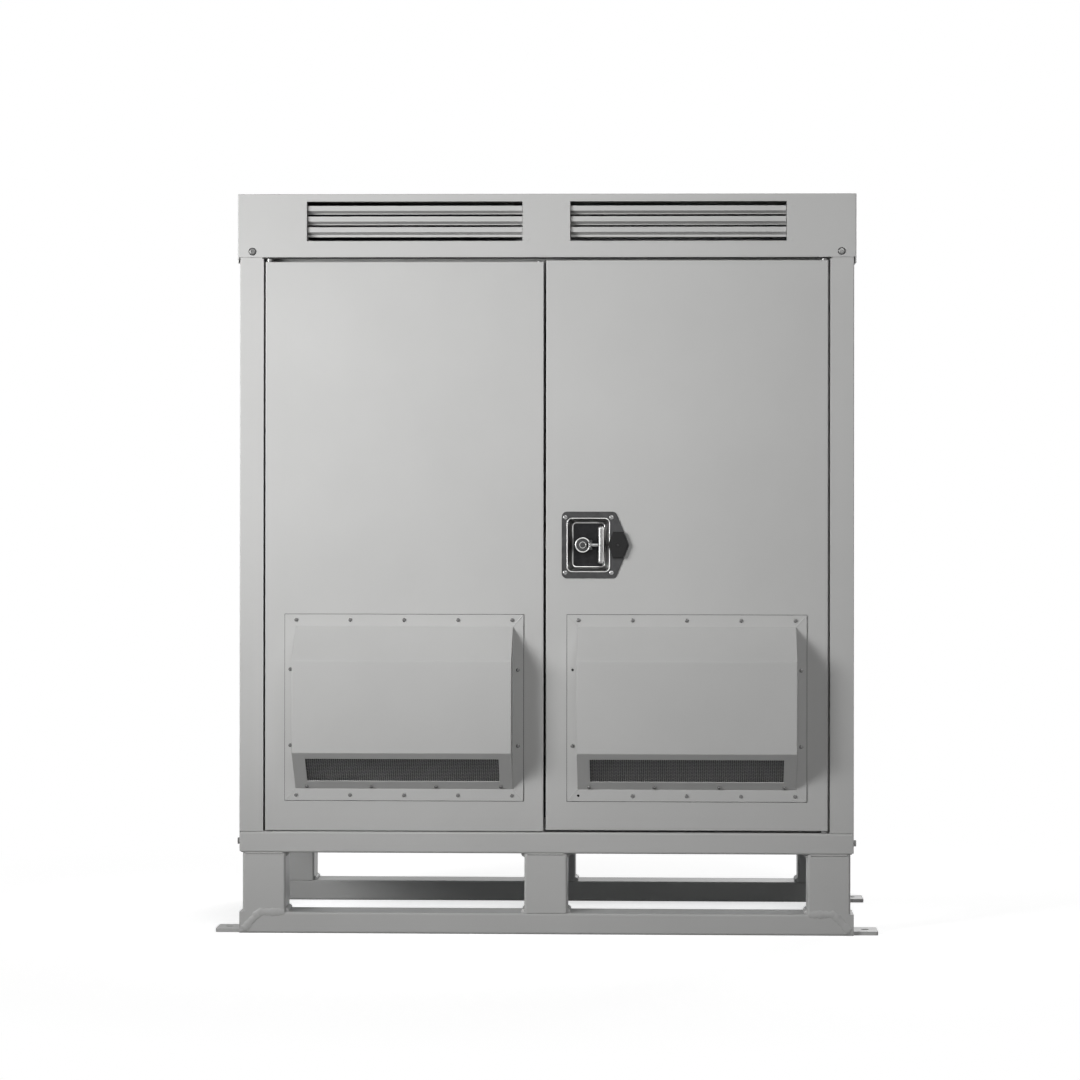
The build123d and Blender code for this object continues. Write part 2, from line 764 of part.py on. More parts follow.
with BuildPart() as right_door:
    add(door_pan(right_door_x, right_door_z, right_door_width, right_pivot_x))
    with BuildSketch(latch_face):
        with Locations((pan_center, 0)):
            Rectangle(2 * (pan_half_width + seat), 2 * (pan_half_height + seat))
        for across in (0, rivet_span):
            for up in (-1, 1):
                with Locations((rivet_inset + across, up * (latch_plate_height / 2 - latch_corner))):
                    Circle(rivet_radius + seat)
    extrude(amount=-sheet, mode=Mode.SUBTRACT)

with BuildPart() as left_gasket:
    add(door_gasket(left_door_x, left_door_z, left_door_width))
    with BuildSketch(face_at(door_depth)):
        for z, travel in ((upper_knob_z, bolt_travel), (lower_knob_z, -bolt_travel)):
            with Locations((bolt_x, z + travel / 2)):
                Rectangle(2 * slot_half + gasket_width, bolt_travel + 2 * slot_half)
    extrude(amount=-gasket_thickness, mode=Mode.SUBTRACT)

with BuildPart() as right_gasket:
    add(door_gasket(right_door_x, right_door_z, right_door_width))

# ---------------------------------------------------------------- intake hoods
hood_top = hood_center_height + hood_flange_height / 2 - hood_top_margin
hood_crease = hood_top - hood_crease_drop
hood_bottom = hood_center_height - hood_flange_height / 2 + hood_top_margin
hood_face_bottom = hood_bottom + hood_slope_drop
slope_run = hood_projection - hood_flange_sheet
slope_length = hypot(hood_slope_drop, slope_run)
slope_angle = atan2(slope_run, hood_slope_drop)
mesh_width = hood_width - 2 * mesh_margin
mesh_height = slope_length - mesh_offset - mesh_rise
crosswire_depth = hood_sheet + mesh_sheet + running_clearance
hood_front_y = front_y - hood_projection
hood_base_y = front_y - hood_flange_sheet


def slope_plane(center_x, along, inward):
    """A plane on the hood's lower slope: along from its upper crease, inward from its outer face."""
    y = hood_front_y + along * sin(slope_angle) + inward * cos(slope_angle)
    z = hood_face_bottom - along * cos(slope_angle) + inward * sin(slope_angle)
    normal = (0, -cos(slope_angle), -sin(slope_angle))
    return Plane(origin=(center_x, y, z), x_dir=(1, 0, 0), z_dir=normal)


def intake_hood(center_x):
    """A rain hood: screwed flange, sloping roof, upright face and a slope with the air opening."""
    screw_places = hood_screw_places(center_x)
    with BuildPart() as hood:
        with BuildSketch(Plane.YZ.offset(center_x - hood_width / 2)):
            Polygon(
                (hood_base_y, hood_top),
                (hood_front_y, hood_crease),
                (hood_front_y, hood_face_bottom),
                (hood_base_y, hood_bottom),
                align=None,
            )
        extrude(amount=hood_width)
        back = hood.faces().sort_by(Axis.Y)[-1]
        offset(amount=-hood_sheet, openings=back)
        with BuildSketch(face_at(0)):
            with Locations((center_x, hood_center_height)):
                Rectangle(hood_flange_width, hood_flange_height)
            with Locations((center_x, (hood_top + hood_bottom) / 2)):
                inner_height = hood_top - hood_bottom - 2 * hood_sheet
                Rectangle(hood_width - 2 * hood_sheet, inner_height, mode=Mode.SUBTRACT)
            with Locations(*screw_places):
                Circle(hood_screw_radius + seat, mode=Mode.SUBTRACT)
        extrude(amount=hood_flange_sheet)
        with BuildSketch(slope_plane(center_x, mesh_offset + mesh_height / 2, -hood_sheet)):
            Rectangle(mesh_width, mesh_height)
        extrude(amount=-3 * hood_sheet, mode=Mode.SUBTRACT)
        with BuildSketch(slope_plane(center_x, slope_length - mesh_screw_inset, -hood_sheet)):
            with GridLocations(mesh_screw_pitch, 0, 4, 1):
                Circle(hood_screw_radius + seat)
        extrude(amount=-3 * hood_sheet, mode=Mode.SUBTRACT)
    return hood.part


def mesh_screen(center_x):
    """The wires of a screen behind the opening in a hood's slope, uprights in front of crosswires."""
    with BuildPart() as screen:
        with BuildSketch(slope_plane(center_x, mesh_offset + mesh_height / 2, hood_sheet)):
            with GridLocations(mesh_width / mesh_columns, 0, mesh_columns + 1, 1):
                Rectangle(mesh_wire, mesh_height + 2 * mesh_overlap)
        extrude(amount=-mesh_sheet)
        with BuildSketch(slope_plane(center_x, mesh_offset + mesh_height / 2, crosswire_depth)):
            with GridLocations(0, mesh_height / mesh_rows, 1, mesh_rows + 1):
                Rectangle(mesh_width + 2 * mesh_overlap, mesh_wire)
        extrude(amount=-mesh_sheet)
    return screen.part


def hood_screws(center_x, left_out):
    """The pan-head screws of a hood, apart from those at the places left out."""
    places = hood_screw_places(center_x)
    kept = [spot for index, spot in enumerate(places) if index not in left_out]
    with BuildPart() as screws:
        for radius, length in ((hood_screw_head, hood_screw_height), (hood_screw_radius, -hood_screw_length)):
            with BuildSketch(face_at(-hood_flange_sheet)):
                with Locations(*kept):
                    Circle(radius)
            extrude(amount=length)
            with BuildSketch(slope_plane(center_x, slope_length - mesh_screw_inset, 0)):
                with GridLocations(mesh_screw_pitch, 0, 4, 1):
                    Circle(radius)
            extrude(amount=max(length, -2 * hood_sheet))
    return screws.part


with BuildPart() as left_hood:
    add(intake_hood(left_door_center))
with BuildPart() as right_hood:
    add(intake_hood(right_door_center))
with BuildPart() as left_mesh:
    add(mesh_screen(left_door_center))
with BuildPart() as right_mesh:
    add(mesh_screen(right_door_center))
with BuildPart() as left_hood_screws:
    add(hood_screws(left_door_center, ()))
with BuildPart() as right_hood_screws:
    add(hood_screws(right_door_center, (0, 11)))


# ---------------------------------------------------------------- filters, trays and fans
def filter_pad(center_x):
    """The filter mat between a door's sheet and the fan tray."""
    with BuildPart() as pad:
        with BuildSketch(face_at(sheet + seat)):
            with Locations((center_x, air_z)):
                Rectangle(air_width + 2 * filter_overlap, air_height + 2 * filter_overlap)
        extrude(amount=-filter_thickness)
    return pad.part


def fan_tray(center_x):
    """The folded tray that holds the filter and carries the fans."""
    inside_width = air_width + 2 * (filter_overlap + seat)
    inside_height = air_height + 2 * (filter_overlap + seat)
    with BuildPart() as tray:
        with BuildSketch(face_at(sheet)):
            with Locations((center_x, air_z)):
                Rectangle(inside_width + 2 * sheet, inside_height + 2 * sheet)
                Rectangle(inside_width, inside_height, mode=Mode.SUBTRACT)
        extrude(amount=-tray_rim)
        with BuildSketch(face_at(sheet + tray_rim)):
            with Locations((center_x, air_z)):
                Rectangle(inside_width + 2 * sheet, inside_height + 2 * sheet)
                with GridLocations(fan_pitch, 0, 2, 1):
                    Circle(fan_bore, mode=Mode.SUBTRACT)
        extrude(amount=-sheet)
    return tray.part


fan_front = 2 * sheet + tray_rim
fan_back = fan_front + fan_depth


def fan_frames(center_x):
    """The two fan housings of a door: square frame, round bore, struts and the shaft's bearing."""
    with BuildPart() as frames:
        with BuildSketch(face_at(fan_front)):
            with Locations((center_x, air_z)):
                with GridLocations(fan_pitch, 0, 2, 1):
                    Rectangle(fan_side, fan_side)
                    Circle(fan_bore, mode=Mode.SUBTRACT)
        extrude(amount=-fan_depth)
        with BuildSketch(face_at(fan_back)):
            with Locations((center_x, air_z)):
                with GridLocations(fan_pitch, 0, 2, 1):
                    Circle(fan_hub)
                    Rectangle(2 * fan_bore + sheet, fan_strut)
                    Rectangle(fan_strut, 2 * fan_bore + sheet)
        extrude(amount=fan_strut_depth)
        with BuildSketch(face_at(fan_back - fan_strut_depth)):
            with Locations((center_x, air_z)):
                with GridLocations(fan_pitch, 0, 2, 1):
                    Circle(fan_bearing)
        extrude(amount=fan_bearing_depth)
        with BuildSketch(face_at(fan_back)):
            with Locations((center_x, air_z)):
                with GridLocations(fan_pitch, 0, 2, 1):
                    Circle(fan_shaft + running_clearance)
        extrude(amount=fan_strut_depth + fan_bearing_depth, mode=Mode.SUBTRACT)
    return frames.part


def fan_rotor(axis_x):
    """An axial impeller: cup hub, shaft and twisted blades lofted from root to tip."""
    hub_front = fan_front + seat
    hub_face = hub_front + fan_hub_depth
    shaft_front = fan_back - fan_strut_depth - fan_bearing_depth
    mid_depth = hub_front + fan_hub_depth / 2
    tip = fan_bore - blade_tip_clearance
    with BuildPart() as rotor:
        with BuildSketch(face_at(hub_front)):
            with Locations((axis_x, air_z)):
                Circle(fan_hub)
        extrude(amount=-fan_hub_depth)
        with BuildSketch(face_at(hub_face)):
            with Locations((axis_x, air_z)):
                Circle(fan_hub - sheet)
        extrude(amount=hub_face - shaft_front + seat, mode=Mode.SUBTRACT)
        with BuildSketch(face_at(fan_back)):
            with Locations((axis_x, air_z)):
                Circle(fan_shaft)
        extrude(amount=fan_back - shaft_front + 2 * sheet)
        for blade in range(fan_blades):
            angle = tau * blade / fan_blades
            outward = Vector(cos(angle), 0, sin(angle))
            around = Vector(-sin(angle), 0, cos(angle))
            root = fan_hub - sheet / 2
            for radius, pitch, chord in ((root, root_pitch, root_chord), (tip, tip_pitch, tip_chord)):
                across = around * cos(radians(pitch)) + Vector(0, 1, 0) * sin(radians(pitch))
                middle = Vector(axis_x, front_y + mid_depth, air_z) + outward * radius
                with BuildSketch(Plane(origin=middle, x_dir=across, z_dir=outward)):
                    Rectangle(chord, blade_thickness)
            loft(ruled=True)
    return rotor.part


with BuildPart() as left_filter:
    add(filter_pad(left_door_center))
with BuildPart() as right_filter:
    add(filter_pad(right_door_center))
with BuildPart() as left_fan_tray:
    add(fan_tray(left_door_center))
with BuildPart() as right_fan_tray:
    add(fan_tray(right_door_center))
with BuildPart() as left_fan_frames:
    add(fan_frames(left_door_center))
with BuildPart() as right_fan_frames:
    add(fan_frames(right_door_center))
with BuildPart() as fan_rotor_1:
    add(fan_rotor(left_door_center - fan_pitch / 2))
with BuildPart() as fan_rotor_2:
    add(fan_rotor(left_door_center + fan_pitch / 2))
with BuildPart() as fan_rotor_3:
    add(fan_rotor(right_door_center - fan_pitch / 2))
with BuildPart() as fan_rotor_4:
    add(fan_rotor(right_door_center + fan_pitch / 2))

# ---------------------------------------------------------------- latch
plate_front = latch_face.offset(latch_plate)
floor_inside = pan_depth - pan_sheet

with BuildPart() as latch_pan:
    with BuildSketch(latch_face):
        with Locations((latch_plate_width / 2, 0)):
            RectangleRounded(latch_plate_width, latch_plate_height, latch_corner)
        Polygon(
            (latch_plate_width - latch_corner, latch_ear_height / 2),
            (latch_plate_width + latch_ear_reach, 0),
            (latch_plate_width - latch_corner, -latch_ear_height / 2),
            align=None,
        )
    extrude(amount=latch_plate)
    with BuildSketch(plate_front):
        with Locations((pan_center, 0)):
            RectangleRounded(pan_width + 2 * bead_width, pan_height + 2 * bead_width, pan_corner + bead_width)
    extrude(amount=bead_height)
    fillet(latch_pan.faces().sort_by(Axis.Y)[0].edges(), bead_height / 2)
    with BuildSketch(latch_face):
        with Locations((pan_center, 0)):
            RectangleRounded(2 * pan_half_width, 2 * pan_half_height, pan_corner + pan_sheet)
    with BuildSketch(latch_face.offset(latch_plate - pan_depth)):
        with Locations((pan_center, 0)):
            RectangleRounded(
                pan_floor_width + 2 * pan_sheet, pan_floor_height + 2 * pan_sheet, pan_corner + pan_sheet)
    loft()
    with BuildSketch(plate_front):
        with Locations((pan_center, 0)):
            RectangleRounded(pan_width, pan_height, pan_corner)
    with BuildSketch(plate_front.offset(-floor_inside)):
        with Locations((pan_center, 0)):
            RectangleRounded(pan_floor_width, pan_floor_height, pan_corner)
    loft(mode=Mode.SUBTRACT)
    with BuildSketch(plate_front):
        with Locations((pan_center, 0)):
            RectangleRounded(pan_width, pan_height, pan_corner)
    extrude(amount=bead_height, mode=Mode.SUBTRACT)
    with BuildSketch(plate_front.offset(-pan_depth)):
        with Locations((hub_offset, 0)):
            Circle(latch_shaft_radius + running_clearance)
    extrude(amount=pan_sheet, mode=Mode.SUBTRACT)
    with BuildSketch(latch_face):
        for across in (0, rivet_span):
            for up in (-1, 1):
                with Locations((rivet_inset + across, up * (latch_plate_height / 2 - latch_corner))):
                    Circle(rivet_radius + seat)
    extrude(amount=latch_plate, mode=Mode.SUBTRACT)
    with BuildSketch(plate_front):
        with Locations((keeper_offset, 0)):
            Circle(keeper_pin)
    extrude(amount=keeper_front - keeper_chamfer)

with BuildPart() as latch_rivets:
    for radius, length in ((rivet_head, rivet_height), (rivet_radius, -rivet_length)):
        with BuildSketch(plate_front):
            for across in (0, rivet_span):
                for up in (-1, 1):
                    with Locations((rivet_inset + across, up * (latch_plate_height / 2 - latch_corner))):
                        Circle(radius)
        extrude(amount=length)

slot_left = fold_offset - knuckle_radius - seat
ear_half = knuckle_length / 2 + seat + ear_thickness
hub_back = floor_inside - seat
ear_right = fold_offset + knuckle_radius
ear_deep = fold_depth + knuckle_radius

with BuildPart() as latch_hub:
    with BuildSketch(plate_front.offset(-hub_back)):
        with Locations((hub_offset, 0)):
            Circle(hub_radius)
    extrude(amount=hub_back - hub_front)
    with BuildSketch(plate_front.offset(-ear_deep)):
        with Locations((hub_offset + ear_right / 2, 0)):
            Rectangle(ear_right, 2 * ear_half)
    extrude(amount=ear_deep - hub_front - ear_setback)
    with BuildSketch(plate_front.offset(-ear_deep - seat)):
        with Locations((hub_offset + slot_left + hub_radius, 0)):
            Rectangle(2 * hub_radius, knuckle_length + 2 * seat)
    extrude(amount=ear_deep, mode=Mode.SUBTRACT)
    with BuildSketch(plate_front.offset(-(hub_front + plug_length + seat))):
        with Locations((hub_offset, 0)):
            Circle(plug_radius + running_clearance)
    extrude(amount=plug_length + 2 * seat, mode=Mode.SUBTRACT)
    with BuildSketch(Plane.XY.offset(latch_height - ear_half)):
        with Locations((hub_x + fold_offset, front_y - latch_plate + fold_depth)):
            Circle(fold_pin_radius)
    extrude(amount=2 * ear_half)
    with BuildSketch(plate_front.offset(-hub_back)):
        with Locations((hub_offset, 0)):
            Circle(latch_shaft_radius)
    extrude(amount=-(cam_depth + cam_thickness + shaft_tail + latch_plate - hub_back))

fold_y = front_y - latch_plate + fold_depth
with BuildPart() as t_handle:
    with BuildSketch(Plane.XY.offset(latch_height - t_bar_length / 2)):
        with Locations((hub_x + fold_offset + handle_reach, fold_y)):
            Circle(t_bar_radius)
    extrude(amount=t_bar_length)
    fillet(t_handle.edges().filter_by(GeomType.CIRCLE), t_bar_rounding)
    with BuildSketch(Plane.YZ.offset(hub_x + fold_offset)):
        with Locations((fold_y, latch_height)):
            Circle(stem_radius)
    extrude(amount=handle_reach)
    with BuildSketch(Plane.XY.offset(latch_height - knuckle_length / 2)):
        with Locations((hub_x + fold_offset, fold_y)):
            Circle(knuckle_radius)
    extrude(amount=knuckle_length)
    with BuildSketch(Plane.XY.offset(latch_height - knuckle_length / 2)):
        with Locations((hub_x + fold_offset, fold_y)):
            Circle(fold_pin_radius + running_clearance)
    extrude(amount=knuckle_length, mode=Mode.SUBTRACT)

with BuildPart() as lock_plug:
    with BuildSketch(plate_front.offset(-(hub_front + plug_length))):
        with Locations((hub_offset, 0)):
            Circle(plug_radius)
    extrude(amount=plug_length + plug_proud)
    chamfer(lock_plug.edges().filter_by(GeomType.CIRCLE), plug_chamfer)
    with BuildSketch(plate_front.offset(plug_proud - hub_front)):
        with Locations((hub_offset, 0)):
            Rectangle(keyway_width, keyway_length)
    extrude(amount=-plug_length / 2, mode=Mode.SUBTRACT)

cam_reach = hub_offset + latch_inset + meeting_gap - cam_clearance
with BuildPart() as latch_cam:
    with BuildSketch(face_at(cam_depth)):
        with Locations((hub_x, latch_height)):
            Circle(cam_width / 2)
        with Locations((hub_x - cam_reach / 2, latch_height)):
            Rectangle(cam_reach, cam_width)
        with Locations((hub_x, latch_height)):
            Circle(latch_shaft_radius + running_clearance, mode=Mode.SUBTRACT)
    extrude(amount=-cam_thickness)

with BuildPart() as handle_keeper:
    with BuildSketch(plate_front.offset(keeper_under)):
        with Locations((keeper_offset, 0)):
            Polygon(
                (-keeper_half_width, 0),
                (-keeper_shoulder, keeper_half_height),
                (keeper_shoulder, keeper_half_height),
                (keeper_half_width, 0),
                (keeper_shoulder, -keeper_half_height),
                (-keeper_shoulder, -keeper_half_height),
                align=None,
            )
    extrude(amount=keeper_front - keeper_under)
    chamfer(handle_keeper.faces().sort_by(Axis.Y)[0].edges(), keeper_chamfer)
    with BuildSketch(plate_front.offset(seat)):
        with Locations((keeper_offset, 0)):
            Circle(keeper_boss)
    extrude(amount=keeper_under - seat)
    with BuildSketch(plate_front):
        with Locations((keeper_offset, 0)):
            Circle(keeper_pin + running_clearance)
    extrude(amount=keeper_front, mode=Mode.SUBTRACT)

# ---------------------------------------------------------------- battery racks
rack_y = front_y + rack_front
module_base = floor_z + first_module
module_room = overall_height - exhaust_height - breaker_panel_height - rail_top_margin - module_base
module_rows = int((module_room + module_pitch - module_height) / module_pitch)
module_zs = [module_base + row * module_pitch for row in range(module_rows)]
rack_height = module_zs[-1] + module_height - floor_z + rail_top_margin + breaker_panel_height
rear_rack_y = rack_y + module_depth


def rack_rail(center_x, side, y, inward):
    """One upright angle of a rack: a flange that carries the ears and a return along the side."""
    corner = center_x + side * (module_width / 2 + 2 * seat)
    outer = corner + side * rail_flange
    depth = y + inward * rail_return
    y_wall = y + inward * rail_sheet
    with BuildPart() as rail:
        with BuildSketch(Plane.XY.offset(floor_z)):
            Polygon(
                (corner, y),
                (outer, y),
                (outer, depth),
                (outer - side * rail_sheet, depth),
                (outer - side * rail_sheet, y_wall),
                (corner, y_wall),
                align=None,
            )
        extrude(amount=rack_height)
    return rail.part


with BuildPart() as rack_rails:
    for column in (-1, 1):
        for side in (-1, 1):
            add(rack_rail(column * rack_spacing / 2, side, rack_y, 1))
            add(rack_rail(column * rack_spacing / 2, side, rear_rack_y, -1))

with BuildPart() as module_runners:
    for z in module_zs:
        with BuildSketch(Plane.XZ.offset(-(rack_y + rail_sheet))):
            for side in (-1, 1):
                edge = side * (module_width / 2 + rail_flange - rail_sheet)
                with Locations((rack_spacing / 2, 0), (-rack_spacing / 2, 0)):
                    Polygon(
                        (edge, z - runner_sheet - seat),
                        (edge, z + runner_height),
                        (edge - side * runner_sheet, z + runner_height),
                        (edge - side * runner_sheet, z - seat),
                        (edge - side * (rail_flange + runner_width), z - seat),
                        (edge - side * (rail_flange + runner_width), z - runner_sheet - seat),
                        align=None,
                    )
        extrude(amount=-(module_depth - 2 * rail_sheet))

with BuildPart() as module_cases:
    for z in module_zs:
        with BuildSketch(Plane.XZ.offset(-rack_y)):
            with Locations((0, z + module_height / 2)):
                with GridLocations(rack_spacing, 0, 2, 1):
                    Rectangle(module_width, module_height)
        extrude(amount=-module_depth)
        with BuildSketch(Plane.XZ.offset(-rack_y)):
            with Locations((0, z + module_height / 2)):
                with GridLocations(rack_spacing, 0, 2, 1):
                    Rectangle(module_width - 2 * module_sheet, module_height - 2 * module_sheet)
        extrude(amount=-(module_depth - module_sheet), mode=Mode.SUBTRACT)
        with BuildSketch(Plane.XZ.offset(-rack_y)):
            with Locations((0, z + module_height / 2)):
                with GridLocations(rack_spacing, 0, 2, 1):
                    Rectangle(module_panel_width, module_height)
        extrude(amount=module_panel)

with BuildPart() as cell_stacks:
    for z in module_zs:
        with BuildSketch(Plane.XZ.offset(-(rack_y + cell_gap))):
            with Locations((0, z + module_sheet + seat + cell_height / 2)):
                with GridLocations(rack_spacing, 0, 2, 1):
                    Rectangle(2 * cell_length, cell_height)
        extrude(amount=-cell_row_count * 2 * cell_thickness)

panel_front = rack_y - module_panel
with BuildPart() as module_handles:
    for z in module_zs:
        with BuildSketch(Plane.YZ.offset(handle_offset - handle_bar / 2)):
            with Locations((panel_front - handle_reach_out / 2, z + module_height / 2)):
                Rectangle(handle_reach_out, handle_span)
                with Locations((handle_bar / 2, 0)):
                    Rectangle(handle_reach_out - handle_bar, handle_span - 2 * handle_bar, mode=Mode.SUBTRACT)
        extrude(amount=handle_bar)
    mirror(about=Plane.YZ)

with BuildPart() as module_grips:
    with Locations((-rack_spacing / 2, 0, 0), (rack_spacing / 2, 0, 0)):
        add(module_handles.part)

with BuildPart() as module_terminals:
    for z in module_zs:
        with BuildSketch(Plane.XZ.offset(-panel_front)):
            with Locations((0, z + module_height / 2 + terminal_rise)):
                with GridLocations(rack_spacing, 0, 2, 1):
                    with GridLocations(2 * terminal_offset, 0, 2, 1):
                        Rectangle(terminal_width, terminal_height)
        extrude(amount=terminal_reach)

busbar_low = module_zs[0] + module_height / 2 + terminal_rise - terminal_height
breaker_panel_z = module_zs[-1] + module_height + rail_top_margin / 2
busbar_high = breaker_panel_z + breaker_panel_height / 2
with BuildPart() as busbars:
    with BuildSketch(Plane.XZ.offset(-(panel_front - terminal_reach))):
        with Locations((0, (busbar_low + busbar_high) / 2)):
            with GridLocations(rack_spacing, 0, 2, 1):
                with GridLocations(2 * terminal_offset, 0, 2, 1):
                    Rectangle(busbar_width, busbar_high - busbar_low)
    extrude(amount=busbar_thickness)

breaker_z = breaker_panel_z + breaker_panel_height / 2
with BuildPart() as breaker_panels:
    with BuildSketch(Plane.XZ.offset(-rack_y)):
        with Locations((0, breaker_z)):
            with GridLocations(rack_spacing, 0, 2, 1):
                Rectangle(module_panel_width, breaker_panel_height)
                Rectangle(breaker_width + 2 * seat, breaker_nose_height + 2 * seat, mode=Mode.SUBTRACT)
    extrude(amount=module_panel)

slot_width = toggle_width + 2 * toggle_slot_clearance
toggle_y = panel_front - breaker_nose / 2
with BuildPart() as breakers:
    with BuildSketch(Plane.XZ.offset(-rack_y)):
        with Locations((0, breaker_z)):
            with GridLocations(rack_spacing, 0, 2, 1):
                Rectangle(breaker_width, breaker_height)
    extrude(amount=-breaker_depth)
    with BuildSketch(Plane.XZ.offset(-rack_y)):
        with Locations((0, breaker_z)):
            with GridLocations(rack_spacing, 0, 2, 1):
                Rectangle(breaker_width, breaker_nose_height)
    extrude(amount=module_panel + breaker_nose)
    with BuildSketch(Plane.XZ.offset(-(panel_front - breaker_nose))):
        with Locations((0, breaker_z)):
            with GridLocations(rack_spacing, 0, 2, 1):
                Rectangle(slot_width, breaker_nose_height - 4 * sheet)
    extrude(amount=-(breaker_nose + 2 * sheet), mode=Mode.SUBTRACT)
    with BuildSketch(Plane.YZ.offset(rack_spacing / 2 - breaker_width / 4)):
        with Locations((toggle_y, breaker_z)):
            Circle(toggle_pin)
    extrude(amount=breaker_width / 2)
    with BuildSketch(Plane.YZ.offset(-rack_spacing / 2 - breaker_width / 4)):
        with Locations((toggle_y, breaker_z)):
            Circle(toggle_pin)
    extrude(amount=breaker_width / 2)


def breaker_toggle(center_x):
    """A breaker's lever: a round root on the breaker's pin and a flat tongue, tilted up when on."""
    tongue = Plane(
        origin=(center_x, toggle_y, breaker_z),
        x_dir=(1, 0, 0),
        z_dir=(0, -cos(radians(toggle_rest)), sin(radians(toggle_rest))),
    )
    with BuildPart() as toggle:
        with BuildSketch(Plane.YZ.offset(center_x - toggle_width / 2)):
            with Locations((toggle_y, breaker_z)):
                Circle(toggle_root)
        extrude(amount=toggle_width)
        with BuildSketch(tongue):
            Rectangle(toggle_width, toggle_thickness)
        extrude(amount=toggle_length)
        with BuildSketch(Plane.YZ.offset(center_x - toggle_width / 2)):
            with Locations((toggle_y, breaker_z)):
                Circle(toggle_pin + running_clearance)
        extrude(amount=toggle_width, mode=Mode.SUBTRACT)
    return toggle.part


with BuildPart() as breaker_toggle_left:
    add(breaker_toggle(-rack_spacing / 2))
with BuildPart() as breaker_toggle_right:
    add(breaker_toggle(rack_spacing / 2))

# ---------------------------------------------------------------- files
pieces = {
    "skid_bottom_rails": skid_bottom_rails,
    "skid_rail_ends": skid_rail_ends,
    "skid_posts": skid_posts,
    "skid_long_rails": skid_long_rails,
    "skid_side_rails": skid_side_rails,
    "skid_bearers": skid_bearers,
    "anchor_tabs": anchor_tabs,
    "floor_plate": floor_plate,
    "side_bolts": side_bolts,
    "left_side_panel": left_side_panel,
    "right_side_panel": right_side_panel,
    "corner_posts": corner_posts,
    "rear_panel": rear_panel,
    "header": header,
    "stop_strips": stop_strips,
    "roof_cover": roof_cover,
    "louvre_boxes": louvre_boxes,
    "louvre_blades": louvre_blades,
    "panel_screws": panel_screws,
    "hinge_pins": hinge_pins,
    "left_door": left_door,
    "right_door": right_door,
    "left_gasket": left_gasket,
    "right_gasket": right_gasket,
    "upper_bolt": upper_bolt,
    "lower_bolt": lower_bolt,
    "left_hood": left_hood,
    "right_hood": right_hood,
    "left_mesh": left_mesh,
    "right_mesh": right_mesh,
    "left_hood_screws": left_hood_screws,
    "right_hood_screws": right_hood_screws,
    "left_filter": left_filter,
    "right_filter": right_filter,
    "left_fan_tray": left_fan_tray,
    "right_fan_tray": right_fan_tray,
    "left_fan_frames": left_fan_frames,
    "right_fan_frames": right_fan_frames,
    "fan_rotor_1": fan_rotor_1,
    "fan_rotor_2": fan_rotor_2,
    "fan_rotor_3": fan_rotor_3,
    "fan_rotor_4": fan_rotor_4,
    "latch_pan": latch_pan,
    "latch_rivets": latch_rivets,
    "latch_hub": latch_hub,
    "t_handle": t_handle,
    "lock_plug": lock_plug,
    "latch_cam": latch_cam,
    "handle_keeper": handle_keeper,
    "rack_rails": rack_rails,
    "module_runners": module_runners,
    "module_cases": module_cases,
    "cell_stacks": cell_stacks,
    "module_grips": module_grips,
    "module_terminals": module_terminals,
    "busbars": busbars,
    "breaker_panels": breaker_panels,
    "breakers": breakers,
    "breaker_toggle_left": breaker_toggle_left,
    "breaker_toggle_right": breaker_toggle_right,
}
for label, piece in pieces.items():
    piece.part.label = label
    export_step(piece.part, f"parts/{label}.step")
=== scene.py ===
"""Looks of a two-door outdoor battery cabinet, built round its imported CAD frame.

Metres, +X to the right of someone facing the doors, -Y out of the doors, +Z up.
"""

from __future__ import annotations

import json
import logging
import math
from dataclasses import dataclass, field
from enum import Enum
from typing import Any

import bmesh
import bpy
from mathutils import Matrix, Vector

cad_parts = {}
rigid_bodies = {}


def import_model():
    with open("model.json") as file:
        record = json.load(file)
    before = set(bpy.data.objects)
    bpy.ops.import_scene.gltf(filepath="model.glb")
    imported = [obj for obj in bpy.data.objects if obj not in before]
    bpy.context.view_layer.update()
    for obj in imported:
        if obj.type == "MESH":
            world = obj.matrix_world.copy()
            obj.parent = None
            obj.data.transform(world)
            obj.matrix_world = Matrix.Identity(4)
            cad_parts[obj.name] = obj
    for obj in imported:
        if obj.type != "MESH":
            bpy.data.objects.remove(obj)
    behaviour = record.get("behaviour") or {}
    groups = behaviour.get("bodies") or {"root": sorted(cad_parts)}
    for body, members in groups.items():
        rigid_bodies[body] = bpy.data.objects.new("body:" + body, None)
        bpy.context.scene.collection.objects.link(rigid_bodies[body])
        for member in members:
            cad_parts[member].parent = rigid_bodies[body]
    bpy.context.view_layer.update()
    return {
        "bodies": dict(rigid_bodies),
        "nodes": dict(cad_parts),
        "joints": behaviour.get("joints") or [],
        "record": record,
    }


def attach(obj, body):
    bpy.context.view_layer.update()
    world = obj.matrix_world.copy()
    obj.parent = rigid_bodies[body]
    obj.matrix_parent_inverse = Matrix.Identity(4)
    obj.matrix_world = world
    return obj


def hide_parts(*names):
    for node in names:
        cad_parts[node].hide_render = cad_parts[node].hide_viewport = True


BMesh = bmesh.types.BMesh
Node = bpy.types.Node
Tree = bpy.types.NodeTree
Pair = tuple[float, float]
Triple = tuple[float, float, float]

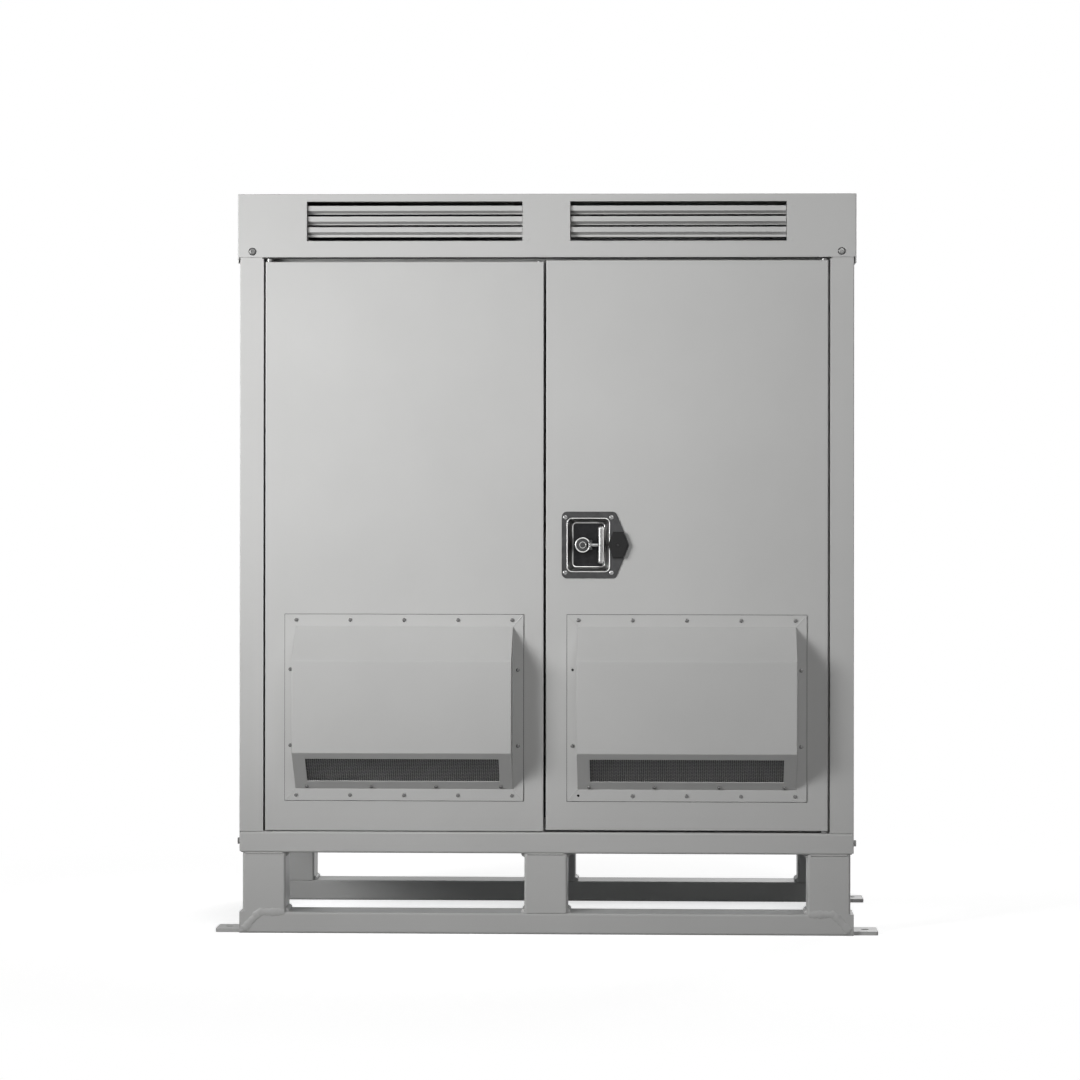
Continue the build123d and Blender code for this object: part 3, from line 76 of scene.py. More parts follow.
LOG = logging.getLogger("cabinet")
SMOOTH_BELOW = math.radians(38)
SHARP_ABOVE = math.radians(24)
FLAT_BELOW = math.radians(0.4)
MERGE_DISTANCE = 2e-6
FOLD_LENGTH = 0.12
FOLD_FLANGE = 0.011
WHITE = (1.0, 1.0, 1.0, 1.0)
FRONT = Vector((0, -1, 0))
REAR = Vector((0, 1, 0))
TO_FRONT = Matrix.Rotation(math.radians(90), 4, "X")
UPRIGHT = Matrix(((1, 0, 0), (0, 0, -1), (0, 1, 0))).to_4x4()


class Body(Enum):
    """The moving bodies that a piece can ride on."""

    CABINET = "cabinet"
    LEFT_LEAF = "left_leaf"
    RIGHT_LEAF = "right_leaf"
    LATCH = "latch"
    PLUG = "plug"
    KEEPER = "keeper"


class Slot(Enum):
    """The material slots of the record."""

    COAT = "powder_coat"
    GALVANISED = "galvanised"
    ZINC = "zinc_steel"
    POLISHED = "polished_steel"
    MESH = "mesh_steel"
    RUBBER_AND_SHADE = "seal_rubber"
    PLASTIC = "black_plastic"
    FILTER = "filter_mat"
    MODULE = "module_coat"
    CELL = "cell_can"
    COPPER = "copper"
    BREAKER = "breaker_shell"


class Special(Enum):
    """Finishes of pieces that only the looks have."""

    PAN_FLOOR = "pan_floor"
    PLATE = "brushed_plate"
    KEEPER = "keeper_black"
    BAR = "drawn_bar"


# --- shader nodes
def placed(tree: Tree, kind: str, values: dict[str, Any] | None = None) -> Node:
    """Places a node and sets the sockets that hold a constant.

    Args:
        tree: The node tree that gets it.
        kind: Its type, without the common prefix.
        values: The constant of each named input.

    Returns:
        The node.
    """
    return preset(tree.nodes.new(f"ShaderNode{kind}"), values or {})


def preset(node: Node, values: dict[str, Any]) -> Node:
    """Sets a node's constants, by the names of its inputs."""
    for label, value in values.items():
        node.inputs[label].default_value = value
    return node


def wire(tree: Tree, *links: tuple[Node, str, Node, str | int]) -> None:
    """Links nodes: from a node's output to another node's input."""
    for start, output, end, given in links:
        tree.links.new(start.outputs[output], end.inputs[given])


def math_node(tree: Tree, operation: str, *given: bpy.types.NodeSocket | float) -> Node:
    """Places a math node and feeds it.

    Args:
        tree: The node tree that gets it.
        operation: What it works out.
        given: A socket or a number for each of its inputs.

    Returns:
        The node.
    """
    node = placed(tree, "Math")
    node.operation = operation
    for socket, value in zip(node.inputs, given):
        if isinstance(value, bpy.types.NodeSocket):
            tree.links.new(value, socket)
        else:
            socket.default_value = value
    return node


def mix_node(tree: Tree, low: Triple, high: Triple, factor: bpy.types.NodeSocket) -> Node:
    """Places a mix of two colours.

    Args:
        tree: The node tree that gets it.
        low: The colour at 0.
        high: The colour at 1.
        factor: What drives it.

    Returns:
        The node.
    """
    node = placed(tree, "Mix")
    node.data_type = "RGBA"
    preset(node, {"A": (*low, 1.0), "B": (*high, 1.0)})
    tree.links.new(factor, node.inputs["Factor"])
    return node


class EffectGroups:
    """Node groups for the surface effects that several finishes share."""

    def __init__(self) -> None:
        """Builds each group once: pebbled skin, broad unevenness, handling marks and rolling lines."""
        self.peel = self._group("Orange peel", "Height", 420.0, Detail=2.0, Roughness=0.45)
        self.mottle = self._group("Mottle", "Value", 3.0, Detail=4.0, Roughness=0.6)
        self.scuffs = self._group(
            "Scuffs", "Mask", 9.0, (1.0, 1.0, 3.2), (0.66, 7.0), Detail=8.0, Roughness=0.72, Distortion=1.1)
        self.grain = self._group("Rolled grain", "Height", 60.0, (1.0, 1.0, 22.0), Detail=3.0)

    @staticmethod
    def _group(
        name: str, output: str, scale: float, stretch: Triple | None = None, cut: Pair | None = None,
        **settings: float,
    ) -> Tree:
        """Makes a group of noise that reads a position and a scale.

        Args:
            name: The group's name.
            output: The name of its one output, a value.
            scale: The noise's usual scale.
            stretch: How much each axis of the position is scaled first.
            cut: The usual coverage, which is taken off the noise, and the gain of what is left.
            settings: The noise's own numbers.

        Returns:
            The group.
        """
        tree = bpy.data.node_groups.new(name, "ShaderNodeTree")
        tree.interface.new_socket("Position", in_out="INPUT", socket_type="NodeSocketVector")
        for label, default in zip(("Scale", "Coverage"), (scale, *(cut or ())[:1])):
            socket = tree.interface.new_socket(label, in_out="INPUT", socket_type="NodeSocketFloat")
            socket.default_value = default
        tree.interface.new_socket(output, in_out="OUTPUT", socket_type="NodeSocketFloat")
        given, result = tree.nodes.new("NodeGroupInput"), tree.nodes.new("NodeGroupOutput")
        noise = placed(tree, "TexNoise", settings)
        position = (given, "Position")
        if stretch:
            mapping = placed(tree, "Mapping", {"Scale": stretch})
            wire(tree, (*position, mapping, "Vector"))
            position = (mapping, "Vector")
        wire(tree, (*position, noise, "Vector"), (given, "Scale", noise, "Scale"))
        height = noise.outputs["Fac"]
        if cut:
            above = math_node(tree, "SUBTRACT", height, given.outputs["Coverage"])
            gain = math_node(tree, "MULTIPLY", above.outputs["Value"], cut[1])
            gain.use_clamp = True
            height = gain.outputs["Value"]
        tree.links.new(height, result.inputs[output])
        return tree


@dataclass(frozen=True)
class Finish:
    """One finish: a colour that varies and wears, over a skin with its own relief; on the darkened metals the
    colour and the worn tone also carry painted dark reflection.
    """

    name: str
    color: Triple
    worn_and_reflection: Triple
    roughness: float
    metallic: float = 0.0
    relief: str = "peel"
    relief_scale: float = 420.0
    relief_depth: float = 0.00006
    relief_strength: float = 0.3
    mottle_scale: float = 3.0
    mottle_amount: float = 0.05
    scuff_coverage: float = 0.66
    scuff_amount: float = 0.35
    specular: float = 0.5

    def material(self, groups: EffectGroups) -> bpy.types.Material:
        """Makes the finish as a material.

        Args:
            groups: The shared effects.

        Returns:
            The material.
        """
        made = bpy.data.materials.new(self.name)
        made.use_nodes = True
        tree = made.node_tree
        skin = tree.nodes["Principled BSDF"]
        preset(skin, {"Metallic": self.metallic, "Specular IOR Level": self.specular})
        place = placed(tree, "TexCoord")

        def effect(group: Tree, **values: float) -> Node:
            """Places a shared effect and sets its numbers."""
            node = placed(tree, "Group")
            node.node_tree = group
            wire(tree, (place, "Object", node, "Position"))
            return preset(node, values)

        mottle = effect(groups.mottle, Scale=self.mottle_scale)
        dark = tuple(c * (1.0 - self.mottle_amount) for c in self.color)
        light = tuple(min(1.0, c * (1.0 + self.mottle_amount)) for c in self.color)
        shade = mix_node(tree, dark, light, mottle.outputs["Value"])

        # The scuff mask marks real wear; on the darkened bar finish its dark patches are painted reflection as
        # well.
        scuffs = effect(groups.scuffs, Coverage=self.scuff_coverage)
        share = math_node(tree, "MULTIPLY", scuffs.outputs["Mask"], self.scuff_amount)
        wear_and_reflection = mix_node(tree, self.color, self.worn_and_reflection, share.outputs["Value"])
        rough = placed(tree, "MapRange", {
            "To Min": max(0.04, self.roughness - 0.05), "To Max": min(1.0, self.roughness + 0.06)})
        relief = effect(getattr(groups, self.relief), Scale=self.relief_scale)
        bump = placed(tree, "Bump", {"Strength": self.relief_strength, "Distance": self.relief_depth})
        wire(
            tree,
            (shade, "Result", wear_and_reflection, "A"), (wear_and_reflection, "Result", skin, "Base Color"),
            (mottle, "Value", rough, "Value"), (rough, "Result", skin, "Roughness"),
            (relief, "Height", bump, "Height"), (bump, "Normal", skin, "Normal"))
        return made


FINISHES: dict[Slot | Special, Finish] = {
    Slot.COAT: Finish(
        "Powder coat", (0.480, 0.480, 0.474), (0.56, 0.56, 0.555), 0.40,
        relief_depth=0.00012, relief_strength=0.4, mottle_amount=0.07, specular=0.28),
    # The pan floor's near-black colour is painted shade and dark reflection of the recess.
    Special.PAN_FLOOR: Finish(
        "Pan steel painted dark", (0.020, 0.020, 0.021), (0.09, 0.09, 0.09), 0.42, 1.0,
        relief="grain", relief_scale=130.0, relief_depth=0.0002, mottle_scale=110.0, mottle_amount=0.5,
        scuff_coverage=0.58),
    # The latch plate's near-black colour is painted reflection: it stands in for the dark room that polished
    # stainless mirrors.
    Special.PLATE: Finish(
        "Brushed plate painted dark", (0.060, 0.060, 0.061), (0.17, 0.17, 0.17), 0.34, 1.0,
        relief="grain", relief_scale=110.0, relief_depth=0.0001, mottle_scale=70.0, mottle_amount=0.35,
        scuff_coverage=0.60),
    # The bar's dark colour and its darker worn patches are painted reflection, standing in for the dark stripes
    # polished steel mirrors.
    Special.BAR: Finish(
        "Drawn bar painted dark", (0.27, 0.27, 0.27), (0.10, 0.10, 0.10), 0.20, 1.0,
        relief="grain", relief_scale=140.0, relief_depth=0.0002, mottle_scale=90.0, mottle_amount=0.4,
        scuff_coverage=0.56, scuff_amount=0.8),
    Special.KEEPER: Finish(
        "Keeper black", (0.010, 0.010, 0.010), (0.03, 0.03, 0.03), 0.5,
        relief_scale=1300.0, mottle_scale=60.0, mottle_amount=0.2, specular=0.2),
    Slot.GALVANISED: Finish(
        "Zinc coated sheet", (0.50, 0.52, 0.53), (0.62, 0.64, 0.65), 0.42, 0.9,
        relief="grain", relief_scale=40.0, mottle_scale=38.0, mottle_amount=0.16),
    # The zinc's dark grey colour is painted reflection: bright zinc darkened to stand in for the dark room it
    # mirrors.
    Slot.ZINC: Finish(
        "Zinc painted dark", (0.15, 0.15, 0.148), (0.09, 0.088, 0.084), 0.30, 1.0,
        relief="grain", relief_scale=160.0, mottle_scale=60.0, mottle_amount=0.10),
    Slot.POLISHED: Finish(
        "Polished stainless", (0.58, 0.58, 0.57), (0.34, 0.34, 0.34), 0.30, 1.0,
        relief="grain", relief_scale=90.0, relief_strength=0.2, mottle_scale=60.0, mottle_amount=0.25,
        scuff_coverage=0.60, scuff_amount=0.6),
    Slot.MESH: Finish(
        "Woven wire", (0.085, 0.085, 0.085), (0.19, 0.19, 0.19), 0.5, 0.7, mottle_scale=40.0, mottle_amount=0.2),
    # This black rubber finish also dresses the painted shadow lines round the hood flanges and under the header.
    Slot.RUBBER_AND_SHADE: Finish(
        "Foam rubber and painted shade", (0.022, 0.022, 0.022), (0.05, 0.05, 0.05), 0.85,
        relief_scale=900.0, relief_strength=0.6, mottle_scale=60.0, mottle_amount=0.2),
    Slot.PLASTIC: Finish(
        "Moulded black", (0.018, 0.018, 0.019), (0.06, 0.06, 0.06), 0.5,
        relief_scale=1300.0, relief_strength=0.35, mottle_scale=30.0, mottle_amount=0.15),
    Slot.FILTER: Finish(
        "Matted fibre", (0.62, 0.62, 0.60), (0.36, 0.35, 0.33), 0.95,
        relief_scale=700.0, relief_depth=0.0006, relief_strength=1.0, mottle_scale=110.0, mottle_amount=0.28),
    Slot.MODULE: Finish(
        "Textured black coat", (0.040, 0.041, 0.044), (0.10, 0.10, 0.10), 0.55,
        relief_scale=800.0, relief_strength=0.5, mottle_amount=0.12),
    Slot.CELL: Finish("Cell wrap", (0.05, 0.16, 0.36), (0.10, 0.24, 0.46), 0.4, mottle_amount=0.08),
    Slot.COPPER: Finish(
        "Copper bar", (0.70, 0.34, 0.20), (0.45, 0.24, 0.15), 0.3, 1.0,
        relief="grain", relief_scale=120.0, mottle_scale=30.0, mottle_amount=0.16),
    Slot.BREAKER: Finish(
        "Breaker shell", (0.10, 0.10, 0.105), (0.18, 0.18, 0.18), 0.38,
        relief_scale=1500.0, relief_strength=0.2, mottle_amount=0.08),
}


# --- making pieces
class Workshop:
    """Holds the frame and the materials, and turns bmeshes into dressed pieces."""

    def __init__(self, frame: dict) -> None:
        """Makes every material.
        """
        self.frame = frame
        groups = EffectGroups()
        self.materials = {slot: finish.material(groups) for slot, finish in FINISHES.items()}
        self.slots = {entry["node"]: Slot(entry["material_slot"]) for entry in frame["record"]["subparts"]}

    def dress_frame(self) -> None:
        """Gives each CAD node the material of its record slot."""
        for node, slot in self.slots.items():
            self.paint(self.frame["nodes"][node], slot)

    def paint(self, piece: bpy.types.Object, finish: Slot | Special) -> None:
        """Gives a piece one material in place of those it has."""
        piece.data.materials.clear()
        piece.data.materials.append(self.materials[finish])

    def add(
        self, name: str, bm: BMesh, slot: Slot, body: Body, replaces: tuple[str, ...] = (),
        look: Special | None = None,
    ) -> bpy.types.Object:
        """Makes a piece from a bmesh, dresses it and seats it on its body.

        Args:
            name: The piece's name.
            bm: Its mesh in the row frame, which is freed.
            slot: The finish it takes.
            body: The body it rides on.
            replaces: The CAD nodes it stands for.
            look: A finish of its own, in place of its slot's.

        Returns:
            The new object.
        """
        mesh = bpy.data.meshes.new(name)
        for edge in bm.edges:
            edge.smooth = len(edge.link_faces) == 2 and edge.calc_face_angle(0.0) < SMOOTH_BELOW
        for face in bm.faces:
            face.smooth = True
        bm.to_mesh(mesh)
        bm.free()
        made = bpy.data.objects.new(name, mesh)
        self.paint(made, look or slot)
        bpy.context.scene.collection.objects.link(made)
        steady = made.modifiers.new("Steady normals", "WEIGHTED_NORMAL")
        steady.keep_sharp = True
        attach(made, body.value)
        if replaces:
            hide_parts(*replaces)
        LOG.info("%s: %d faces on %s", name, len(mesh.polygons), body.value)
        return made

    def softened(self, node: str, radius: float, shortest: float = 0.014, fold: float = 0.0) -> BMesh:
        """A merged copy of a CAD node with its long sharp edges rounded.

        Args:
            node: The CAD node.
            radius: The rounding of cut edges, in metres.
            shortest: Edges shorter than this stay sharp, such as those round a hole.
            fold: The outer radius of the press-brake folds, in metres.

        Returns:
            The rounded copy.
        """
        bm = bmesh.new()
        bm.from_mesh(self.frame["nodes"][node].data)
        bmesh.ops.remove_doubles(bm, verts=bm.verts, dist=MERGE_DISTANCE)
        bmesh.ops.dissolve_limit(bm, angle_limit=FLAT_BELOW, verts=bm.verts, edges=bm.edges)

        def sharp(longer: float) -> list[bmesh.types.BMEdge]:
            """The sharp edges between two faces that are longer than a length."""
            return [
                e for e in bm.edges
                if len(e.link_faces) == 2 and e.calc_face_angle(0.0) > SHARP_ABOVE and e.calc_length() > longer]

        folds = [
            e for e in sharp(FOLD_LENGTH)
            if fold and e.is_convex and min(f.calc_area() for f in e.link_faces) > FOLD_FLANGE * e.calc_length()]
        if folds:
            eased(bm, folds, fold, 4, False)
        return eased(bm, sharp(shortest), radius)


def eased(
    bm: BMesh, edges: list[bmesh.types.BMEdge], radius: float, segments: int = 2, clamp: bool = True,
) -> BMesh:
    """Rounds edges of a bmesh.

    Args:
        bm: The bmesh.
        edges: The edges to round.
        radius: How far the rounding reaches from each edge.
        segments: The rounding's steps.
        clamp: Whether it stops short of its neighbours.

    Returns:
        The same bmesh.
    """
    bmesh.ops.bevel(
        bm, geom=edges, offset=radius, offset_type="OFFSET", segments=segments, profile=0.5,
        affect="EDGES", clamp_overlap=clamp, material=-1)
    return bm


def verts_of(grown: list) -> list[bmesh.types.BMVert]:
    """The vertices among what an extrusion made."""
    return [item for item in grown if isinstance(item, bmesh.types.BMVert)]


def join(bm: BMesh, piece: BMesh, places: list[Matrix] | None = None) -> None:
    """Adds a small bmesh to a larger one, once or at each of several places, and frees it.

    Args:
        bm: The bmesh that grows.
        piece: The small one.
        places: Where each copy goes; one copy stays in place without it.
    """
    pattern = bpy.data.meshes.new("pattern")
    piece.to_mesh(pattern)
    piece.free()
    for place in places or [Matrix.Identity(4)]:
        copy = pattern.copy()
        copy.transform(place)
        bm.from_mesh(copy)
        bpy.data.meshes.remove(copy)
    bpy.data.meshes.remove(pattern)


def swept(places: list[Matrix], sides: int, capped: bool = True) -> BMesh:
    """Extrudes a unit circle from place to place, each place a matrix that also sizes it.

    Args:
        places: The stations along the way.
        sides: The circle's segments.
        capped: Whether the ends are closed.

    Returns:
        The swept piece.
    """
    bm = bmesh.new()
    ring = bmesh.ops.create_circle(bm, cap_ends=capped, segments=sides, radius=1.0, matrix=places[0])["verts"]
    edges = list(dict.fromkeys(edge for vert in ring for edge in vert.link_edges))
    for before, after in zip(places, places[1:]):
        grown = bmesh.ops.extrude_edge_only(bm, edges=edges)["geom"]
        fresh = verts_of(grown)
        bmesh.ops.transform(bm, matrix=after @ before.inverted(), verts=fresh)
        edges = [item for item in grown if isinstance(item, bmesh.types.BMEdge)
                 and all(vert in fresh for vert in item.verts)]
    if capped:
        bmesh.ops.contextual_create(bm, geom=edges)
    return bm


def bead(
    bm: BMesh, path: list[Vector], across: float, proud: float, out: Vector, ripple: float = 0.10,
) -> None:
    """Lays a rippled weld bead along a line.

    Args:
        bm: The bmesh that gets the bead.
        path: The line's corners.
        across: Half the bead's width.
        proud: How far it stands out of the surface.
        out: The surface's outward direction.
        ripple: How much its width and height vary.
    """
    stations: list[tuple[Vector, Vector]] = []
    for start, end in zip(path, path[1:]):
        count = max(2, round((end - start).length / (across * 0.55)))
        along = (end - start).normalized()
        stations += [(start.lerp(end, step / count), along) for step in range(count)]
    stations.append((path[-1], along))
    places = []
    for index, (spot, along) in enumerate(stations):
        swell = 1.0 + ripple * (math.sin(index * 2.1) + 0.6 * math.sin(index * 0.73))
        swell *= 0.35 if index in (0, len(stations) - 1) else 1.0
        turn = Matrix((along.cross(out).normalized(), out, along)).transposed().to_4x4()
        scale = Matrix.Diagonal((across * swell, proud * swell, 1.0, 1.0))
        places.append(Matrix.Translation(spot) @ turn @ scale)
    join(bm, swept(places, 10))


def closed_normals(bm: BMesh) -> BMesh:
    """Turns every face outwards."""
    bmesh.ops.recalc_face_normals(bm, faces=bm.faces)
    return bm


def rounded(corners_2d: list[Pair], radius: float, steps: int = 5) -> list[Vector]:
    """A polygon's outline with each corner turned into an arc.

    Args:
        corners_2d: The corners in order.
        radius: The arcs' radius.
        steps: The segments of each arc.

    Returns:
        The outline's points, on the XY plane.
    """
    points = [Vector((x, y, 0.0)) for x, y in corners_2d]
    loop = []
    for before, at, after in zip(points[-1:] + points[:-1], points, points[1:] + points[:1]):
        back, onward = (before - at).normalized(), (after - at).normalized()
        half = back.angle(onward) / 2
        middle = at + (back + onward).normalized() * (radius / math.sin(half))
        start = at + back * (radius / math.tan(half)) - middle
        end = at + onward * (radius / math.tan(half)) - middle
        sweep = math.atan2(start.x * end.y - start.y * end.x, start.dot(end))
        loop += [middle + Matrix.Rotation(sweep * step / steps, 3, "Z") @ start for step in range(steps + 1)]
    return loop


def circle(
    radius: float, height: float = 0.0, sides: int = 28, center: Pair = (0.0, 0.0),
) -> list[Vector]:
    """A circle's points at a height over the XY plane."""
    return [
        Vector((center[0] + radius * math.cos(math.tau * i / sides),
                center[1] + radius * math.sin(math.tau * i / sides), height))
        for i in range(sides)
    ]


def skinned(loops: list[list[Vector]], start_cap: bool = False, end_cap: bool = False) -> BMesh:
    """A skin over loops that have the same number of points.

    Args:
        loops: The loops in order.
        start_cap: Whether a face closes the first loop.
        end_cap: Whether a face closes the last one.

    Returns:
        The skin.
    """
    bm = bmesh.new()
    rings = [[bm.verts.new(point) for point in loop] for loop in loops]
    for low, high in zip(rings, rings[1:]):
        for i, vert in enumerate(low):
            j = (i + 1) % len(low)
            bm.faces.new((vert, low[j], high[j], high[i]))
    if start_cap:
        bm.faces.new(rings[0])
    if end_cap:
        bm.faces.new(rings[-1])
    return bm


def holed(outline: list[Vector], holes: list[list[Vector]], sheet: float, edge: float) -> BMesh:
    """A flat plate with holes, its front on the XY plane and its rim eased.

    Args:
        outline: The plate's outline.
        holes: The outlines of its holes.
        sheet: Its thickness, behind the plane.
        edge: The rounding of its front edges.

    Returns:
        The plate.
    """
    bm = bmesh.new()
    for loop in [outline, *holes]:
        verts = [bm.verts.new(point) for point in loop]
        for a, b in zip(verts, verts[1:] + verts[:1]):
            bm.edges.new((a, b))
    bmesh.ops.triangle_fill(bm, use_beauty=True, edges=list(bm.edges))
    grown = bmesh.ops.extrude_face_region(bm, geom=list(bm.faces))["geom"]
    bmesh.ops.translate(bm, verts=verts_of(grown), vec=(0, 0, -sheet))
    closed_normals(bm)
    rim = [
        e for e in bm.edges
        if e.calc_face_angle(0.0) > 1.0 and all(abs(v.co.z) < 1e-7 for v in e.verts)
    ]
    return eased(bm, rim, edge)


# --- skid
@dataclass
class SkidWelds:
    """The painted weld beads of the skid."""

    half_x: float = 0.6385
    tube: float = 0.045
    post: float = 0.090
    post_inner: float = 0.5485
    front: float = -0.30775
    rear: float = 0.38125
    top: float = 0.170
    seam: Pair = (0.0078, 0.0021)
    seam_ripple: float = 0.17
    fillet: float = 0.0062
    face_weld: float = 0.0024
    weld_end: float = 0.006

    def corner_seams(self) -> BMesh:
        """The raised seam from each lower corner of the skid up to its post's foot."""
        bm = bmesh.new()
        for y, out in ((self.front, FRONT), (self.rear, REAR)):
            for side in (-1, 1):
                path = [Vector((side * x, y, z)) for x, z in (
                    (self.half_x - 0.001, 0.0065), (self.half_x - 0.018, 0.026),
                    (self.half_x - 0.035, 0.0445), (self.post_inner + 0.001, 0.0445))]
                bead(bm, path, *self.seam, out, self.seam_ripple)
        return closed_normals(bm)

    def post_welds(self) -> BMesh:
        """The fillets where posts meet the rails under and over them."""
        bm = bmesh.new()
        half = self.post / 2
        outer = self.half_x - half
        for y in (self.front + half, self.rear - half):
            for x in (-outer, 0.0, outer):
                for side in (-1, 1):
                    edge = x + side * half
                    if abs(edge) > self.half_x - 0.01:
                        continue
                    near, far = y - half + self.weld_end, y + half - self.weld_end
                    for z, up in ((self.tube + 0.0015, 1.0), (self.top - 0.0015, -1.0)):
                        slant = Vector((side, 0, up)).normalized()
                        bead(bm, [Vector((edge, near, z)), Vector((edge, far, z))], self.fillet, self.fillet, slant)
                for face in (-1, 1):
                    slant = Vector((0, face, -1)).normalized()
                    ends = [
                        Vector((x + side * (half - self.weld_end), y + face * half, self.top - 0.0012))
                        for side in (-1, 1)]
                    bead(bm, ends, self.face_weld, self.face_weld, slant)
        return closed_normals(bm)

    def build(self, shop: Workshop) -> None:
        """Adds the welds to the skid."""
        shop.add("skid_corner_seams", self.corner_seams(), Slot.COAT, Body.CABINET)
        shop.add("skid_post_welds", self.post_welds(), Slot.COAT, Body.CABINET)


# --- folded sheet
@dataclass
class FoldedSheet:
    """The folded sheets, with the outer radii that a press brake leaves."""

    edge: float = 0.0007
    folds: dict[str, float] = field(default_factory=lambda: {
        "roof_cover": 0.0022, "header": 0.0, "left_side_panel": 0.0020, "right_side_panel": 0.0020,
        "rear_panel": 0.0, "anchor_tabs": 0.0,
    })

    def build(self, shop: Workshop) -> None:
        """Replaces each sheet by its rounded copy."""
        for node, fold in self.folds.items():
            copy = shop.softened(node, self.edge, fold=fold)
            shop.add(f"{node}_folded", copy, shop.slots[node], Body.CABINET, (node,))


# --- screws
@dataclass
class ScrewHeads:
    """Pan-head screws with a hexagon socket, from one pattern."""

    head: float = 0.0040
    height: float = 0.0026
    shank: float = 0.0024
    length: float = 0.0078
    socket: float = 0.0019

    def pattern(self) -> BMesh:
        """One screw, its head on the XY plane and pointing up."""
        bm = bmesh.new()
        made = bmesh.ops.create_cone(
            bm, cap_ends=True, segments=18, radius1=self.head, radius2=self.head,
            depth=self.height, matrix=Matrix.Translation((0, 0, self.height / 2)))["verts"]
        cap = max({f for v in made for f in v.link_faces}, key=lambda f: f.calc_center_median().z)
        rounding = self.height * 0.6
        eased(bm, list(cap.edges), rounding, 3)
        top = max(bm.faces, key=lambda f: f.calc_center_median().z)
        room = self.head - rounding - self.socket
        bmesh.ops.inset_region(bm, faces=[top], thickness=max(room, 0.0002), use_even_offset=True)
        sunk = bmesh.ops.extrude_face_region(bm, geom=[top])["geom"]
        bmesh.ops.translate(bm, verts=verts_of(sunk), vec=(0, 0, -rounding))
        bmesh.ops.delete(bm, geom=[top], context="FACES_ONLY")
        bmesh.ops.create_cone(
            bm, cap_ends=True, segments=10, radius1=self.shank, radius2=self.shank,
            depth=self.length, matrix=Matrix.Translation((0, 0, -self.length / 2)))
        return bm

    def fit(self, bm: BMesh, spots: list[Vector], out: Vector) -> None:
        """Adds a screw at each spot.

        Args:
            bm: The bmesh that gets them.
            spots: Where the heads meet the sheet.
            out: The direction that the heads point in.
        """
        turn = Vector((0, 0, 1)).rotation_difference(out).to_matrix().to_4x4()
        join(bm, self.pattern(), [Matrix.Translation(spot) @ turn for spot in spots])


